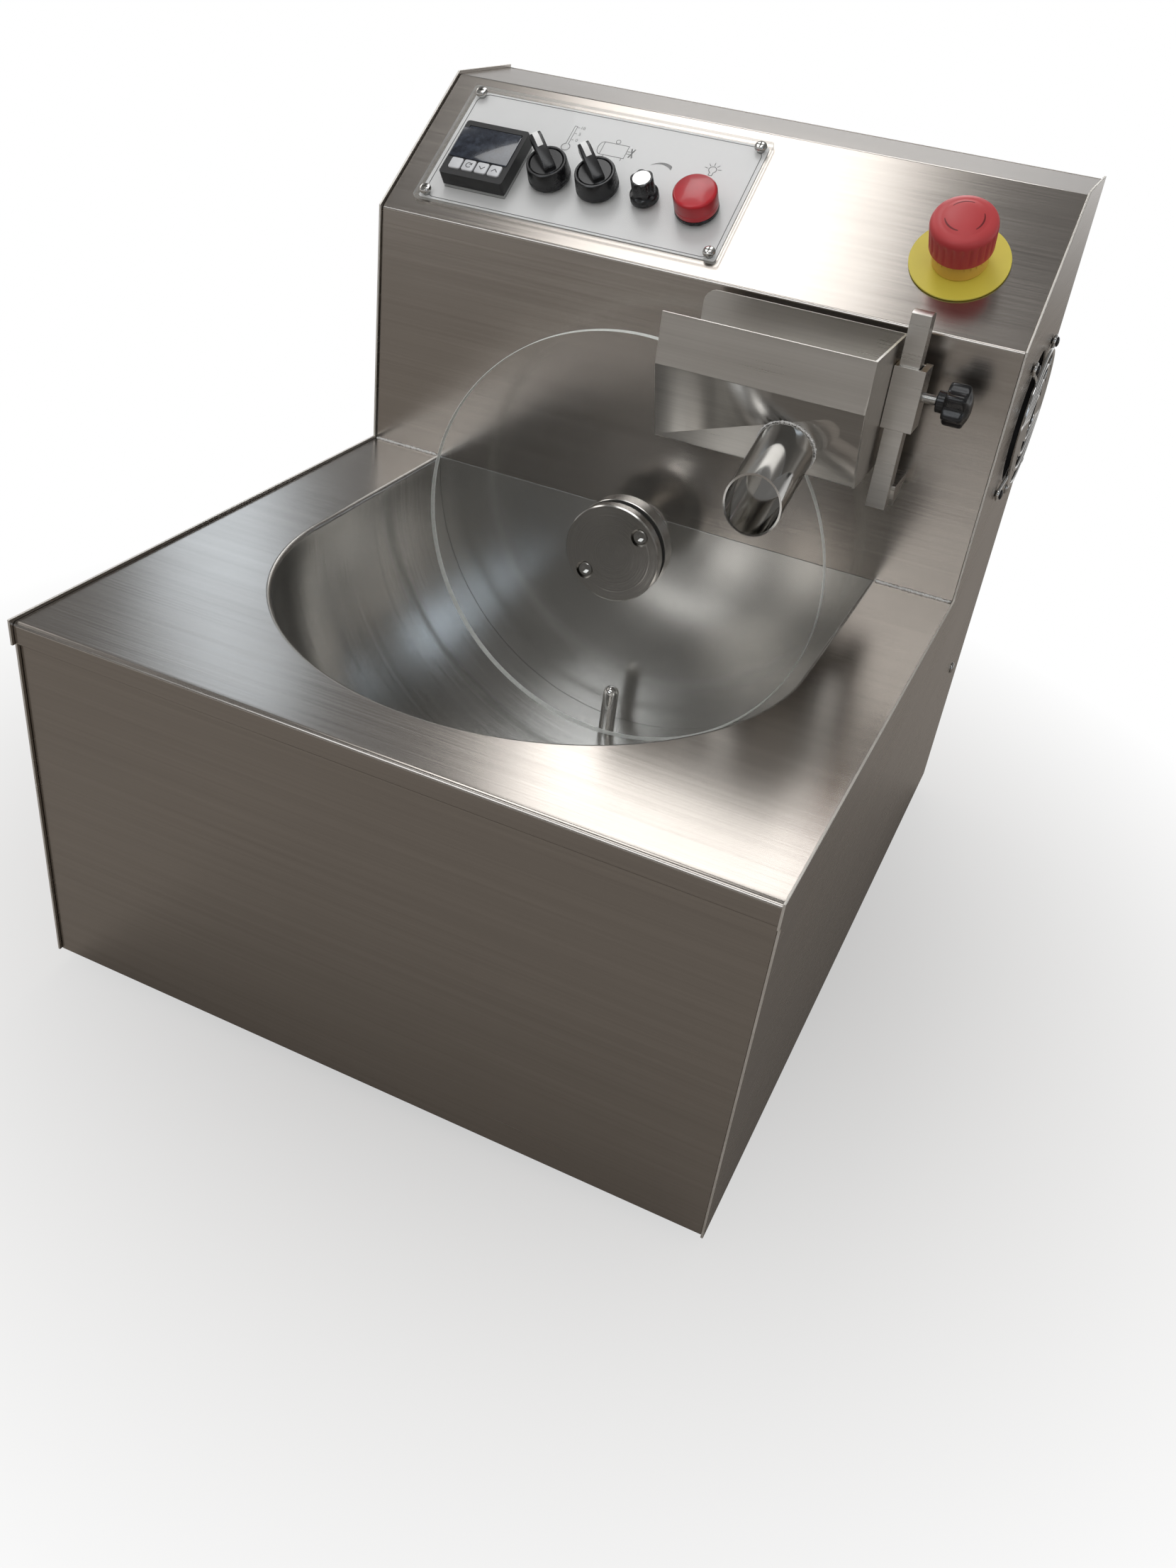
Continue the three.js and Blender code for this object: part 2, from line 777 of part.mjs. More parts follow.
// A rubber foot on a threaded stud
function foot(name, [x, y]) {
  const profile = [
    [0, -footHeight],
    [footBottomRadius, -footHeight],
    [footTopRadius, 0],
    [studRadius, 0],
    [studRadius, studLength],
    [0, studLength],
  ];
  piece(name, turned(profile, smallSides), blackRubber, machine).position.set(x, y, -seat);
}

const inletX = inletInset - bodyWidth / 2;
const roundEndShare = 0.499; // a slot's end radius as a share of its height
const footPlaces = [footInset, bodyDepth - footInset].flatMap((y) =>
  [-1, 1].map((side) => [side * (bodyWidth / 2 - footInset), y]),
);

riserConsole();
backCover();
baseTray();
footPlaces.forEach((place, i) => foot("foot_" + (i + 1), place));

// Mains inlet: a flange and a body with three pins in its socket
function powerInlet() {
  const flange = rounded(rectangle(inletFlangeWidth, inletFlangeHeight), inletCorner);
  const socket = rectangle(socketWidth, socketHeight);
  const chamfers = [0, 0, socketChamfer, socketChamfer];
  const mouth = inletFlange + overrun;
  const socketFloor = inletFlange - socketDepth;
  const pins = [-pinPitch, 0, pinPitch].map((x) =>
    extrude(rectangle(pinWidth, pinHeight, [x, 0]), socketFloor - overrun / 2, socketFloor + pinLength, "y"),
  );
  const shell = cut(
    join(
      extrude(flange, 0, inletFlange, "y"),
      extrude(rectangle(inletBodyWidth, inletBodyHeight), -inletBodyDepth, inletFlange / 2, "y"),
    ),
    extrude(rounded(socket, chamfers, 1), socketFloor, mouth, "y"),
  );
  const mesh = piece("power_inlet", join(shell, ...pins), blackPlastic, machine);
  mesh.position.set(inletX, bodyDepth + seat, inletHeight);
}

powerInlet();

// Bowl: half of a round-ended trough, with a rim rolled out flush with the deck

function tankBowl() {
  const arc = (radius) =>
    range(bowlArcSteps + 1).map((i) => {
      const angle = (Math.PI * i) / (2 * bowlArcSteps);
      return [i === 0 ? 0 : radius * Math.sin(angle), bowlCentreY - radius * Math.cos(angle)];
    });
  const back = riserFace - seat;
  const wall = [...arc(bowlOuter), [bowlOuter, back], [bowlRadius, back], ...arc(bowlRadius).reverse()];
  const upper = box(
    [-bowlOuter - overrun, bowlOuter + overrun],
    [bowlCentreY - bowlOuter - overrun, back + overrun],
    [0, bowlOuter + overrun],
  );
  const trough = cut(turned(wall, bowlTurnSides, "y"), upper);
  const curl = (radius) =>
    range(cornerSteps + 1).map((i) => {
      const angle = (Math.PI * i) / (2 * cornerSteps);
      return [rimRadius - radius * Math.cos(angle), radius * Math.sin(angle)];
    });
  const section = [...curl(rimRadius - sheet), ...curl(rimRadius).reverse()];
  const alongX = (side, y) => (out, up) => new THREE.Vector3(side * (bowlRadius + out), y, up);
  const round = (angle) => (out, up) => {
    const reach = bowlRadius + out;
    return new THREE.Vector3(reach * Math.cos(angle), bowlCentreY + reach * Math.sin(angle), up);
  };
  const turn = range(2 * bowlArcSteps + 1).map((i) => round((-Math.PI * i) / (2 * bowlArcSteps)));
  const rim = sweep(section, [alongX(1, back), ...turn, alongX(-1, back)]);
  const hole = rod(probeRadius + seat, -bowlOuter - overrun, 0, "z", smallSides, [probeX, probeY]);
  piece("tank_bowl", cut(join(trough, rim), hole), polishedSteel, machine).position.z = bowlAxis;
}

// Flat back wall of the bowl, in the plane of the riser
function tankBackPlate() {
  const lower = range(2 * bowlArcSteps + 1).map((i) => {
    const angle = Math.PI + (Math.PI * i) / (2 * bowlArcSteps);
    return [plateHalfWidth * Math.cos(angle), bowlAxis + plateHalfWidth * Math.sin(angle)];
  });
  const top = deckTop - seat;
  const outline = [...lower, [plateHalfWidth, top], [-plateHalfWidth, top]];
  const plate = cut(extrude(outline, riserFace, wallRear, "y"), bushHole());
  piece("tank_back_plate", plate, polishedSteel, machine);
}

// Heating mat that hugs the underside of the trough
function heaterMat() {
  const arc = (radius) =>
    range(matSteps + 1).map((i) => {
      const angle = -Math.PI / 2 + ((i - matSteps / 2) * 2 * Math.PI) / bowlTurnSides;
      return [radius * Math.cos(angle), bowlAxis + radius * Math.sin(angle)];
    });
  const inner = bowlOuter + seat;
  const outline = [...arc(inner + matThickness), ...arc(inner).reverse()];
  const mat = extrude(outline, bowlCentreY + matFront, riserFace - matBack, "y");
  piece("heater_mat", mat, siliconeMat, machine);
}

function temperatureProbe() {
  const nutTop = bowlAxis - bowlOuter - seat;
  const nutBottom = nutTop - probeNutHeight;
  const probeTop = bowlAxis - bowlRadius + probeHeight;
  const dome = range(cornerSteps + 1).map((i) => {
    const angle = (Math.PI * i) / (2 * cornerSteps);
    const radius = i === cornerSteps ? 0 : probeRadius * Math.cos(angle);
    return [radius, probeTop - probeRadius * (1 - Math.sin(angle))];
  });
  const profile = [
    [0, nutBottom - probeTail],
    [probeTailRadius, nutBottom - probeTail],
    [probeTailRadius, nutBottom],
    [probeRadius, nutBottom],
    ...dome,
  ];
  const nut = rod(probeNutRadius, nutBottom, nutTop, "z", screwSides);
  const probe = join(turned(profile, smallSides), nut);
  piece("temperature_probe", probe, polishedSteel, machine).position.set(probeX, probeY, 0);
}

tankBowl();
tankBackPlate();
heaterMat();
temperatureProbe();

// Wheel, hub and shaft, about the wheel's axis: the origin is the middle of the disc
const wheelGroup = new THREE.Group();
wheelGroup.position.set(0, wheelY, wheelHeight);
machine.add(wheelGroup);

const discFront = -discThickness / 2;
const discBack = discThickness / 2;
const capBack = discFront - seat;
const capFront = capBack - capThickness;
const flangeFront = discBack + seat;
const hubRear = flangeFront + hubFlangeThickness;
const bossRear = hubRear + hubBossLength;
const spigotFront = capFront + capWeb + seat;
const boreFloor = flangeFront;
const hubScrewPlaces = [screwAngle, screwAngle + 180].map((degrees) => [
  screwPitchRadius * Math.cos(radians(degrees)),
  screwPitchRadius * Math.sin(radians(degrees)),
]);
const screwHeadFront = capFront + screwRecess;
const screwHeadBack = screwHeadFront + screwHeadHeight;
const screwEnd = screwHeadBack + screwShankLength;

function hubHoles(from, to) {
  return hubScrewPlaces.map((at) => rod(screwShankRadius + seat, from, to, "y", smallSides, at));
}

function wheelDisc() {
  const disc = extrude(circle(discRadius, discSides), discFront, discBack, "y", [
    circle(spigotRadius + seat, roundSides),
    ...hubScrewPlaces.map((at) => circle(screwShankRadius + seat, smallSides, at)),
  ]);
  piece("wheel_disc", disc, clearPlastic, wheelGroup);
}

function hubCap() {
  const profile = [
    [0, capFront],
    [hubRadius - hubChamfer, capFront],
    [hubRadius, capFront + hubChamfer],
    [hubRadius, capBack],
    [spigotRadius + seat, capBack],
    [spigotRadius + seat, capFront + capWeb],
    [0, capFront + capWeb],
  ];
  const counterbores = hubScrewPlaces.map((at) =>
    rod(counterboreRadius, capFront - overrun, screwHeadBack + seat, "y", smallSides, at),
  );
  const holes = hubHoles(capFront - overrun, capBack + overrun);
  piece("hub_cap", cut(turned(profile, hubSides, "y"), ...counterbores, ...holes), turnedSteel, wheelGroup);
}

function hubFlange() {
  const bore = shaftRadius + seat;
  const profile = [
    [0, spigotFront],
    [spigotRadius, spigotFront],
    [spigotRadius, flangeFront],
    [hubRadius, flangeFront],
    [hubRadius, hubRear - hubChamfer],
    [hubRadius - hubChamfer, hubRear],
    [hubBossRadius, hubRear],
    [hubBossRadius, bossRear],
    [bore, bossRear],
    [bore, boreFloor],
    [0, boreFloor],
  ];
  const holes = hubHoles(flangeFront - overrun / 2, screwEnd + seat);
  piece("hub_flange", cut(turned(profile, hubSides, "y"), ...holes), turnedSteel, wheelGroup);
}

// Socket-head screw with its head sunk in the cap
function hubScrew(name, [x, z]) {
  const profile = [
    [0, screwHeadFront],
    [screwHeadRadius, screwHeadFront],
    [screwHeadRadius, screwHeadBack],
    [screwShankRadius, screwHeadBack],
    [screwShankRadius, screwEnd],
    [0, screwEnd],
  ];
  const socketFloor = screwHeadFront + screwSocketDepth;
  const socket = rod(screwSocketRadius, screwHeadFront - overrun, socketFloor, "y", screwSides);
  const screw = cut(turned(profile, smallSides, "y"), socket);
  piece(name, screw, polishedSteel, wheelGroup).position.set(x, 0, z);
}

// Fixed drive, from the bush in the back wall to the motor, in the same frame
const bushFront = riserFace - seat - bushingFlange - wheelY;
const bracketFront = wallRear + seat - wheelY;
const crownRear = bracketFront + bracketReach + bracketSheet;
const gearFront = crownRear + seat;
const gearRear = gearFront + gearLength;
const boreEnd = gearFront - gearBoss + gearBoreDepth;
const shaftEnd = boreEnd - shaftGap;

function driveShaft() {
  const start = boreFloor + seat;
  piece("drive_shaft", rod(shaftRadius, start, shaftEnd, "y", roundSides), polishedSteel, wheelGroup);
}

function shaftBushing() {
  const flangeRear = bushFront + bushingFlange;
  const bore = shaftRadius + seat;
  const profile = [
    [bore, bushFront],
    [bushingFlangeRadius, bushFront],
    [bushingFlangeRadius, flangeRear],
    [bushingRadius, flangeRear],
    [bushingRadius, flangeRear + bushingLength],
    [bore, flangeRear + bushingLength],
  ];
  piece("shaft_bushing", turned(profile, roundSides, "y"), whiteBush, wheelGroup);
}

// Hat-shaped bracket: its feet lie against the back wall and its crown carries the gearbox
function motorBracket() {
  const crown = bracketFront + bracketReach;
  const path = [
    [-bracketHalfWidth - bracketFoot, bracketFront],
    [-bracketHalfWidth, bracketFront],
    [-bracketHalfWidth, crown],
    [bracketHalfWidth, crown],
    [bracketHalfWidth, bracketFront],
    [bracketHalfWidth + bracketFoot, bracketFront],
  ];
  const half = gearSize / 2 + bracketMargin;
  const hat = extrude(bentSheet(path, -bracketSheet, bracketSheet), -gearOffset - half, half - gearOffset);
  const hole = rod(gearBossRadius + seat, crown - overrun, crownRear + overrun, "y");
  piece("motor_bracket", cut(hat, hole), zincSteel, wheelGroup);
}

function gearbox() {
  const outline = rounded(rectangle(gearSize, gearSize, [0, -gearOffset]), gearCorner);
  const body = extrude(outline, gearFront, gearRear, "y");
  const boss = rod(gearBossRadius, gearFront - gearBoss, gearFront + seat, "y");
  const bore = rod(shaftRadius + seat, gearFront - gearBoss - overrun, boreEnd, "y");
  piece("gearbox", cut(join(body, boss), bore), castAluminium, wheelGroup);
}

// Motor: a square mounting plate, a ribbed round body and a rear cap
function driveMotor() {
  const front = gearRear + seat;
  const ribs = 3;
  const ribLength = (motorLength - motorPlate - motorCap) / (2 * ribs);
  const ribbed = range(ribs).flatMap((i) => {
    const start = front + motorPlate + 2 * i * ribLength;
    const waist = motorRadius - motorRibDepth;
    return [
      [waist, start],
      [waist, start + ribLength],
      [motorRadius, start + ribLength],
      [motorRadius, start + 2 * ribLength],
    ];
  });
  const rear = front + motorLength;
  const profile = [
    [0, front + motorPlate / 2],
    [motorRadius - motorRibDepth, front + motorPlate / 2],
    ...ribbed,
    [motorCapRadius, rear],
    [0, rear],
  ];
  const plate = extrude(rounded(rectangle(gearSize, gearSize), gearCorner), front, front + motorPlate, "y");
  const motor = join(plate, turned(profile, smallSides, "y"));
  piece("drive_motor", motor, paintedMotor, wheelGroup).position.z = -gearOffset;
}

wheelDisc();
hubCap();
hubFlange();
hubScrewPlaces.forEach((place, i) => hubScrew("hub_screw_" + (i + 1), place));
driveShaft();
shaftBushing();
motorBracket();
gearbox();
driveMotor();

// Scraper box with its spout and sleeve, and the post that it slides on

const discTop = wheelHeight + discRadius;
const boxFloor = discTop - boxDip;
const boxFold = boxFloor + slantDrop;
const boxTop = boxFloor + boxHeight;
const boxFront = wheelY - boxReach;
const boxToe = boxFront + slantRun;
const boxBack = wheelY + boxRear;
const slantTilt = Math.atan2(slantRun, slantDrop);
const spoutRoot = boxFloor + spoutRise;
const spoutRootY = boxFront + ((slantDrop - spoutRise) * slantRun) / slantDrop;

// Turns a shape that runs along +Z at the origin so that it leaves the slanted face at the spout's root.
function onSlant(geometry) {
  return geometry.rotateX(Math.PI / 2 + slantTilt).translate(spoutX, spoutRootY, spoutRoot);
}

function scraperBox() {
  const path = [
    [boxFront, boxTop],
    [boxFront, boxFold],
    [boxToe, boxFloor],
    [boxBack, boxFloor],
    [boxBack, boxTop],
  ];
  const trough = extrude(bentSheet(path, -sheet, sheet, boxBend), boxLeft, boxRight - sheet / 2, "x");
  const endPlate = extrude(path, boxRight - sheet, boxRight, "x");
  const gap = discThickness / 2 + slotClearance;
  const halfChord = Math.sqrt(discRadius ** 2 - (boxFloor - wheelHeight) ** 2);
  const slot = box(
    [boxLeft - overrun, halfChord + slotPast],
    [wheelY - gap, wheelY + gap],
    [boxFloor - overrun, boxFloor + sheet + overrun],
  );
  const spoutHole = onSlant(rod(spoutRadius - spoutWall, -sheet - overrun, overrun));
  const cornerBlock = box(
    [boxLeft - overrun, boxLeft + boxCorner],
    [boxBack - sheet - overrun, boxBack + overrun],
    [boxTop - boxCorner, boxTop + overrun],
  );
  const cornerCentre = [boxLeft + boxCorner, boxTop - boxCorner];
  const through = [boxBack - sheet - 2 * overrun, boxBack + 2 * overrun];
  const corner = cut(cornerBlock, rod(boxCorner, ...through, "y", roundSides, cornerCentre));
  piece("scraper_box", cut(join(trough, endPlate), slot, spoutHole, corner), brushedSteel, machine);
}

// Thin tube square to the slanted face, with its mouth cut upright
function spoutTube() {
  const spoutMouth = boxFront - spoutReach;
  const reach = (spoutRootY - spoutMouth + spoutRadius) / Math.cos(slantTilt);
  const outline = circle(spoutRadius, hubSides);
  const tube = onSlant(extrude(outline, seat, reach, "z", [circle(spoutRadius - spoutWall, hubSides)]));
  const past = box(
    [spoutX - 2 * spoutRadius, spoutX + 2 * spoutRadius],
    [spoutMouth - 2 * spoutRadius, spoutMouth],
    [boxFloor - 4 * spoutRadius, boxTop],
  );
  piece("spout_tube", cut(tube, past), polishedSteel, machine);
}

const postY = wheelY + postSetback;
const sleeveBottom = boxFloor + sleeveRise;
const sleeveTop = sleeveBottom + sleeveHeight;
const clampHeight = sleeveBottom + clampRise;
const sleeveLeft = boxRight + seat;
const postLeft = sleeveLeft + sleeveWeb + seat;
const postRight = postLeft + postSize;
const sleeveInner = postRight + sleeveSlack;
const sleeveRight = sleeveInner + sleeveFlange;
const sleeveFront = postY - postSize / 2 - seat - sleeveWeb;
const sleeveBack = postY + postSize / 2 + seat + sleeveWeb;

// Sleeve welded to the box's end: three webs round the post and a thick flange that takes the clamp screw
function clampSleeve() {
  const outline = [
    [sleeveLeft, sleeveFront],
    [sleeveRight, sleeveFront],
    [sleeveRight, sleeveBack + sleeveFlangeReach],
    [sleeveInner, sleeveBack + sleeveFlangeReach],
    [sleeveInner, sleeveBack],
    [sleeveLeft, sleeveBack],
  ];
  const bore = box(
    [sleeveLeft + sleeveWeb, sleeveInner],
    [sleeveFront + sleeveWeb, sleeveBack - sleeveWeb],
    [sleeveBottom - overrun, sleeveTop + overrun],
  );
  const threadRadius = clampScrewRadius + threadClearance;
  const thread = rod(threadRadius, postRight, sleeveRight + overrun, "x", smallSides, [postY, clampHeight]);
  const sleeve = cut(extrude(outline, sleeveBottom, sleeveTop), bore, thread);
  piece("clamp_sleeve", sleeve, brushedSteel, machine);
}

// Square bar with a crowned top, and a short arm back to the riser
function guidePost() {
  const half = postSize / 2;
  const postBottom = boxFloor - postBelow;
  const postTop = boxTop + postAbove;
  const bar = [
    [postY - half, postBottom],
    [postY + half, postBottom],
    [postY + half, postTop],
    [postY, postTop + postCrown],
    [postY - half, postTop],
  ];
  const arm = [
    [postY, postBottom + armSlope],
    [postY + half, postBottom],
    [riserFace - seat, postBottom + armSlope],
    [riserFace - seat, postBottom + armHeight],
    [postY, postBottom + armHeight],
  ];
  const upright = extrude(bar, postLeft, postRight, "x");
  const post = join(upright, extrude(arm, postLeft, postLeft + armWidth, "x"));
  piece("guide_post", post, brushedSteel, machine);
}

// Clamp screw and its lobed knob, about the screw's axis: the origin is on the post's face
const clampGroup = new THREE.Group();
clampGroup.position.set(postRight, postY, clampHeight);
clampGroup.rotation.y = Math.PI / 2;
machine.add(clampGroup);

const knobBase = sleeveRight - postRight + knobStart;

function clampScrew() {
  piece("clamp_screw", rod(clampScrewRadius, seat, clampScrewOut, "z", smallSides), zincSteel, clampGroup);
}

function starKnob() {
  const bore = clampScrewRadius + seat;
  const floor = knobBase + knobBoreDepth;
  const tip = knobBase + knobLength;
  const rows = [
    [0, floor],
    [bore, floor],
    [bore, knobBase],
    [knobNeckRadius, knobBase],
    [knobNeckRadius, knobBase + knobNeck],
    [knobRadius - knobRound, knobBase + knobNeck, knobHollow / 2],
    [knobRadius, knobBase + knobNeck + knobRound, knobHollow],
    [knobRadius, tip - 2 * knobRound, knobHollow],
    [knobRadius - knobRound, tip - knobRound, knobHollow / 2],
    [knobNeckRadius, tip],
    [0, tip],
  ];
  piece("star_knob", fluted(rows, 6, 5), blackPlastic, clampGroup);
}

scraperBox();
spoutTube();
clampSleeve();
guidePost();
clampScrew();
starKnob();

// Fan, about its axis: the origin is on the side panel's outer face and +Z points out of the machine
const fanGroup = new THREE.Group();
fanGroup.position.set(bodyWidth / 2, fanY, fanHeight);
fanGroup.rotation.y = Math.PI / 2;
machine.add(fanGroup);

const fanFront = -sheet - seat;
const fanRear = fanFront - fanDepth;
const hubFloor = fanRear + fanPlate;
const rotorBack = hubFloor + seat;
const rotorFront = rotorBack + rotorDepth;
const fanCorners = rectangle(fanHoleSpacing, fanHoleSpacing);

function fanFrame() {
  const holes = fanCorners.map((corner) => circle(fanHoleRadius, tinySides, corner));
  const outline = rounded(rectangle(fanSize, fanSize), fanCorner, 2);
  const shell = extrude(outline, fanRear, fanFront, "z", [circle(fanBore, hubSides), ...holes]);
  const motorSeat = rod(fanHubRadius, fanRear, hubFloor, "z", smallSides);
  const pin = rod(fanPinRadius, fanRear, rotorFront - fanHubWall - seat, "z", tinySides);
  const struts = range(3).map((i) =>
    box(
      [fanHubRadius - fanHubWall, fanBore + fanHubWall / 2],
      [-fanStrutWidth / 2, fanStrutWidth / 2],
      [fanRear, hubFloor],
    ).rotateZ((2 * Math.PI * i) / 3),
  );
  piece("fan_frame", join(shell, motorSeat, pin, ...struts), blackPlastic, fanGroup);
}

// Rotor: a cup over the frame's pin, with twisted blades
function fanRotor() {
  const cupProfile = [
    [fanPinRadius + seat, rotorBack],
    [fanHubRadius, rotorBack],
    [fanHubRadius, rotorFront],
    [0, rotorFront],
    [0, rotorFront - fanHubWall],
    [fanPinRadius + seat, rotorFront - fanHubWall],
  ];
  const middle = (rotorBack + rotorFront) / 2;
  const station = (radius, halfChord, degrees) => (share, off) => {
    const lean = radians(degrees);
    const along = share * halfChord;
    return new THREE.Vector3(
      radius,
      along * Math.sin(lean) + off * Math.cos(lean),
      middle + along * Math.cos(lean) - off * Math.sin(lean),
    );
  };
  const root = station(fanHubRadius - fanHubWall, bladeRootHalfChord, bladeRootAngle);
  const tipReach = bladeTipHalfChord * Math.sin(radians(bladeTipAngle)) + bladeThickness;
  const tipRadius = Math.sqrt((fanBore - bladeTipGap) ** 2 - tipReach ** 2);
  const tip = station(tipRadius, bladeTipHalfChord, bladeTipAngle);
  const blade = sweep(rectangle(2, bladeThickness), [root, tip]);
  const blades = range(bladeCount).map((i) => blade.clone().rotateZ((2 * Math.PI * i) / bladeCount));
  piece("fan_rotor", join(turned(cupProfile, smallSides), ...blades), blackPlastic, fanGroup);
}

// Wire guard: rings on four bent spokes that end in screw eyes
function fanGuard() {
  const eyeLevel = seat + wireRadius;
  const ringLevel = guardRingGap + wireRadius;
  const spokeLevel = ringLevel - wireRadius / 2;
  const eyeCentre = (fanHoleSpacing / 2) * Math.SQRT2;
  const shoulder = guardRadius + guardShoulder;
  const inner = guardRadius - (guardRings - 1) * guardRingStep;
  const rings = range(guardRings).map((i) => {
    const sides = guardRingSides - i * guardRingFewer;
    const ring = new THREE.TorusGeometry(guardRadius - i * guardRingStep, wireRadius, wireSides, sides);
    return ring.translate(0, 0, ringLevel);
  });
  const bends = [
    [inner, 0, spokeLevel],
    [guardRadius - guardShoulder, 0, spokeLevel],
    [guardRadius, 0, spokeLevel],
    [shoulder, 0, (spokeLevel + eyeLevel) / 2],
    [eyeCentre - guardEyeRadius, 0, eyeLevel],
  ];
  const spokes = range(4).flatMap((i) => {
    const turn = Math.PI / 4 + (Math.PI * i) / 2;
    const spoke = wire(bends, wireRadius, wireSides, spokeSteps).rotateZ(turn);
    const eye = new THREE.TorusGeometry(guardEyeRadius, wireRadius, wireSides, tinySides);
    return [spoke, eye.translate(eyeCentre, 0, eyeLevel).rotateZ(turn)];
  });
  piece("fan_guard", join(...rings, ...spokes), chromeWire, fanGroup);
}

fanFrame();
fanRotor();
fanGuard();

// Console: printed sheet, clear cover and its screws

function controlPlate() {
  const middle = [coverLeft + coverWidth / 2, coverBottom + coverHeight / 2];
  const labelTop = seat + labelThickness;
  const holes = consoleHoles().map((hole) => extrude(hole, -overrun, coverTop + overrun));
  const outline = (margin) =>
    rounded(rectangle(coverWidth - 2 * margin, coverHeight - 2 * margin, middle), coverCorner);
  const label = extrude(outline(labelMargin), seat, labelTop);
  piece("label_sheet", cut(label, ...holes), printedLabel, consoleGroup);
  const cover = extrude(outline(0), labelTop + seat, coverTop);
  piece("cover_plate", cut(cover, ...holes), clearPlastic, consoleGroup);
}

// Pan-head screw
function plateScrew(name, [u, v]) {
  const under = coverTop + seat;
  const top = under + plateScrewHead;
  const profile = [
    [0, under - plateScrewLength],
    [plateScrewRadius, under - plateScrewLength],
    [plateScrewRadius, under],
    [plateScrewHeadRadius, under],
    [plateScrewHeadRadius * shoulderShare, under + plateScrewHead * riseShare],
    [plateScrewHeadRadius * crownShare, top],
    [0, top],
  ];
  piece(name, turned(profile, smallSides), polishedSteel, consoleGroup).position.set(u, v, 0);
}

// Radius and height of a pan head's shoulder, and the radius of its crown
const shoulderShare = 0.92;
const riseShare = 0.6;
const crownShare = 0.55;

controlPlate();
plateScrews.forEach((place, i) => plateScrew("plate_screw_" + (i + 1), place));

// Temperature controller: a square case through the console, with a display and four keys
const controllerGroup = new THREE.Group();
controllerGroup.position.set(...casePlace, coverTop + seat);
consoleGroup.add(controllerGroup);

const keyPlaces = range(4).map((i) => [(i - 1.5) * keyPitch, keyCentreV]);

function controllerCase() {
  const bezel = extrude(rounded(rectangle(caseSize, caseSize), caseCorner), 0, caseBezel);
  const body = extrude(rectangle(caseBodySize, caseBodySize), -caseBodyDepth, overrun / 2);
  const windowPocket = extrude(
    rectangle(windowWidth + 2 * seat, windowHeight + 2 * seat, [0, windowCentreV]),
    caseBezel - windowDepth,
    caseBezel + overrun,
  );
  const pocketFloor = caseBezel + keyProud - keyDepth - keyTravel - seat;
  const keyPockets = keyPlaces.map((at) => {
    const pocket = rectangle(keyWidth + 2 * seat, keyHeight + 2 * seat, at);
    return extrude(rounded(pocket, keyCorner, endSteps), pocketFloor, caseBezel + overrun);
  });
  const shell = cut(join(bezel, body), windowPocket, ...keyPockets);
  piece("controller_case", shell, blackPlastic, controllerGroup);
}

function controllerWindow() {
  const outline = rectangle(windowWidth, windowHeight, [0, windowCentreV]);
  const pane = extrude(outline, caseBezel - windowDepth + seat, caseBezel);
  piece("controller_window", pane, displayGlass, controllerGroup);
}

function controllerKey(name, [u, v]) {
  const outline = rounded(rectangle(keyWidth, keyHeight), keyCorner, endSteps);
  const cap = extrude(outline, keyProud - keyDepth, keyProud);
  piece(name, cap, whiteKey, controllerGroup).position.set(u, v, caseBezel);
}

controllerCase();
controllerWindow();
keyPlaces.forEach((place, i) => controllerKey("controller_key_" + (i + 1), place));

// What a 22 mm control has behind the console: its barrel, its nut and its contact block
function barrelRows() {
  const nutFront = -sheet - seat;
  return [
    [0, nutFront - barrelDepth],
    [barrelRadius, nutFront - barrelDepth],
    [barrelRadius, nutFront - nutThickness],
    [nutRadius, nutFront - nutThickness],
    [nutRadius, nutFront],
    [barrelRadius, nutFront],
  ];
}

function contactBlock() {
  const front = -sheet - seat - barrelDepth + overrun / 2;
  return extrude(rectangle(contactWidth, contactHeight), front - contactDepth, front);
}

// Rotary switch: a dished bezel on a barrel, and a handle that turns in it
function selector(name, place) {
  const base = coverTop + seat;
  const top = base + bezelHeight;
  const dish = top - dishDepth;
  const floor = dish - pivotDepth - seat;
  const profile = [
    ...barrelRows(),
    [barrelRadius, base],
    [bezelRadius, base],
    [bezelTopRadius, top - bezelRound],
    [bezelTopRadius - bezelRound, top],
    [dishRadius, top],
    [dishRadius, dish],
    [pivotRadius + seat, dish],
    [pivotRadius + seat, floor],
    [0, floor],
  ];
  const group = new THREE.Group();
  group.position.set(...place, 0);
  consoleGroup.add(group);
  piece(name + "_body", join(turned(profile), contactBlock()), blackPlastic, group);

  const discBase = dish + seat;
  const handleTop = discBase + handleDisc;
  const hub = turned([
    [0, dish - pivotDepth],
    [pivotRadius, dish - pivotDepth],
    [pivotRadius, discBase],
    [dishRadius - seat, discBase],
    [dishRadius - seat, handleTop],
    [0, handleTop],
  ]);
  const tipTop = handleTop + leverTipHeight;
  const root = Math.sqrt((dishRadius - seat) ** 2 - (leverWidth / 2) ** 2);
  const outline = [
    [-leverTail, discBase + handleDisc / 2],
    [root, discBase + handleDisc / 2],
    [root, top + 2 * seat],
    [leverTip, tipTop - leverTipThickness],
    [leverTip, tipTop],
    [-leverTail * backSlopeShare, handleTop + leverTailHeight],
  ];
  const corners = [0, 0, 0, leverCorner, leverCorner, leverCorner];
  const lever = extrude(rounded(outline, corners, 2), -leverWidth / 2, leverWidth / 2, "x");
  const handle = piece(name + "_handle", join(hub, lever), blackPlastic, group);
  handle.rotation.z = radians(selectorRestAngle);
}

const backSlopeShare = 0.6; // where the lever's back slope ends, as a share of its tail

selector("selector_heat", heatPlace);
selector("selector_motor", motorPlace);

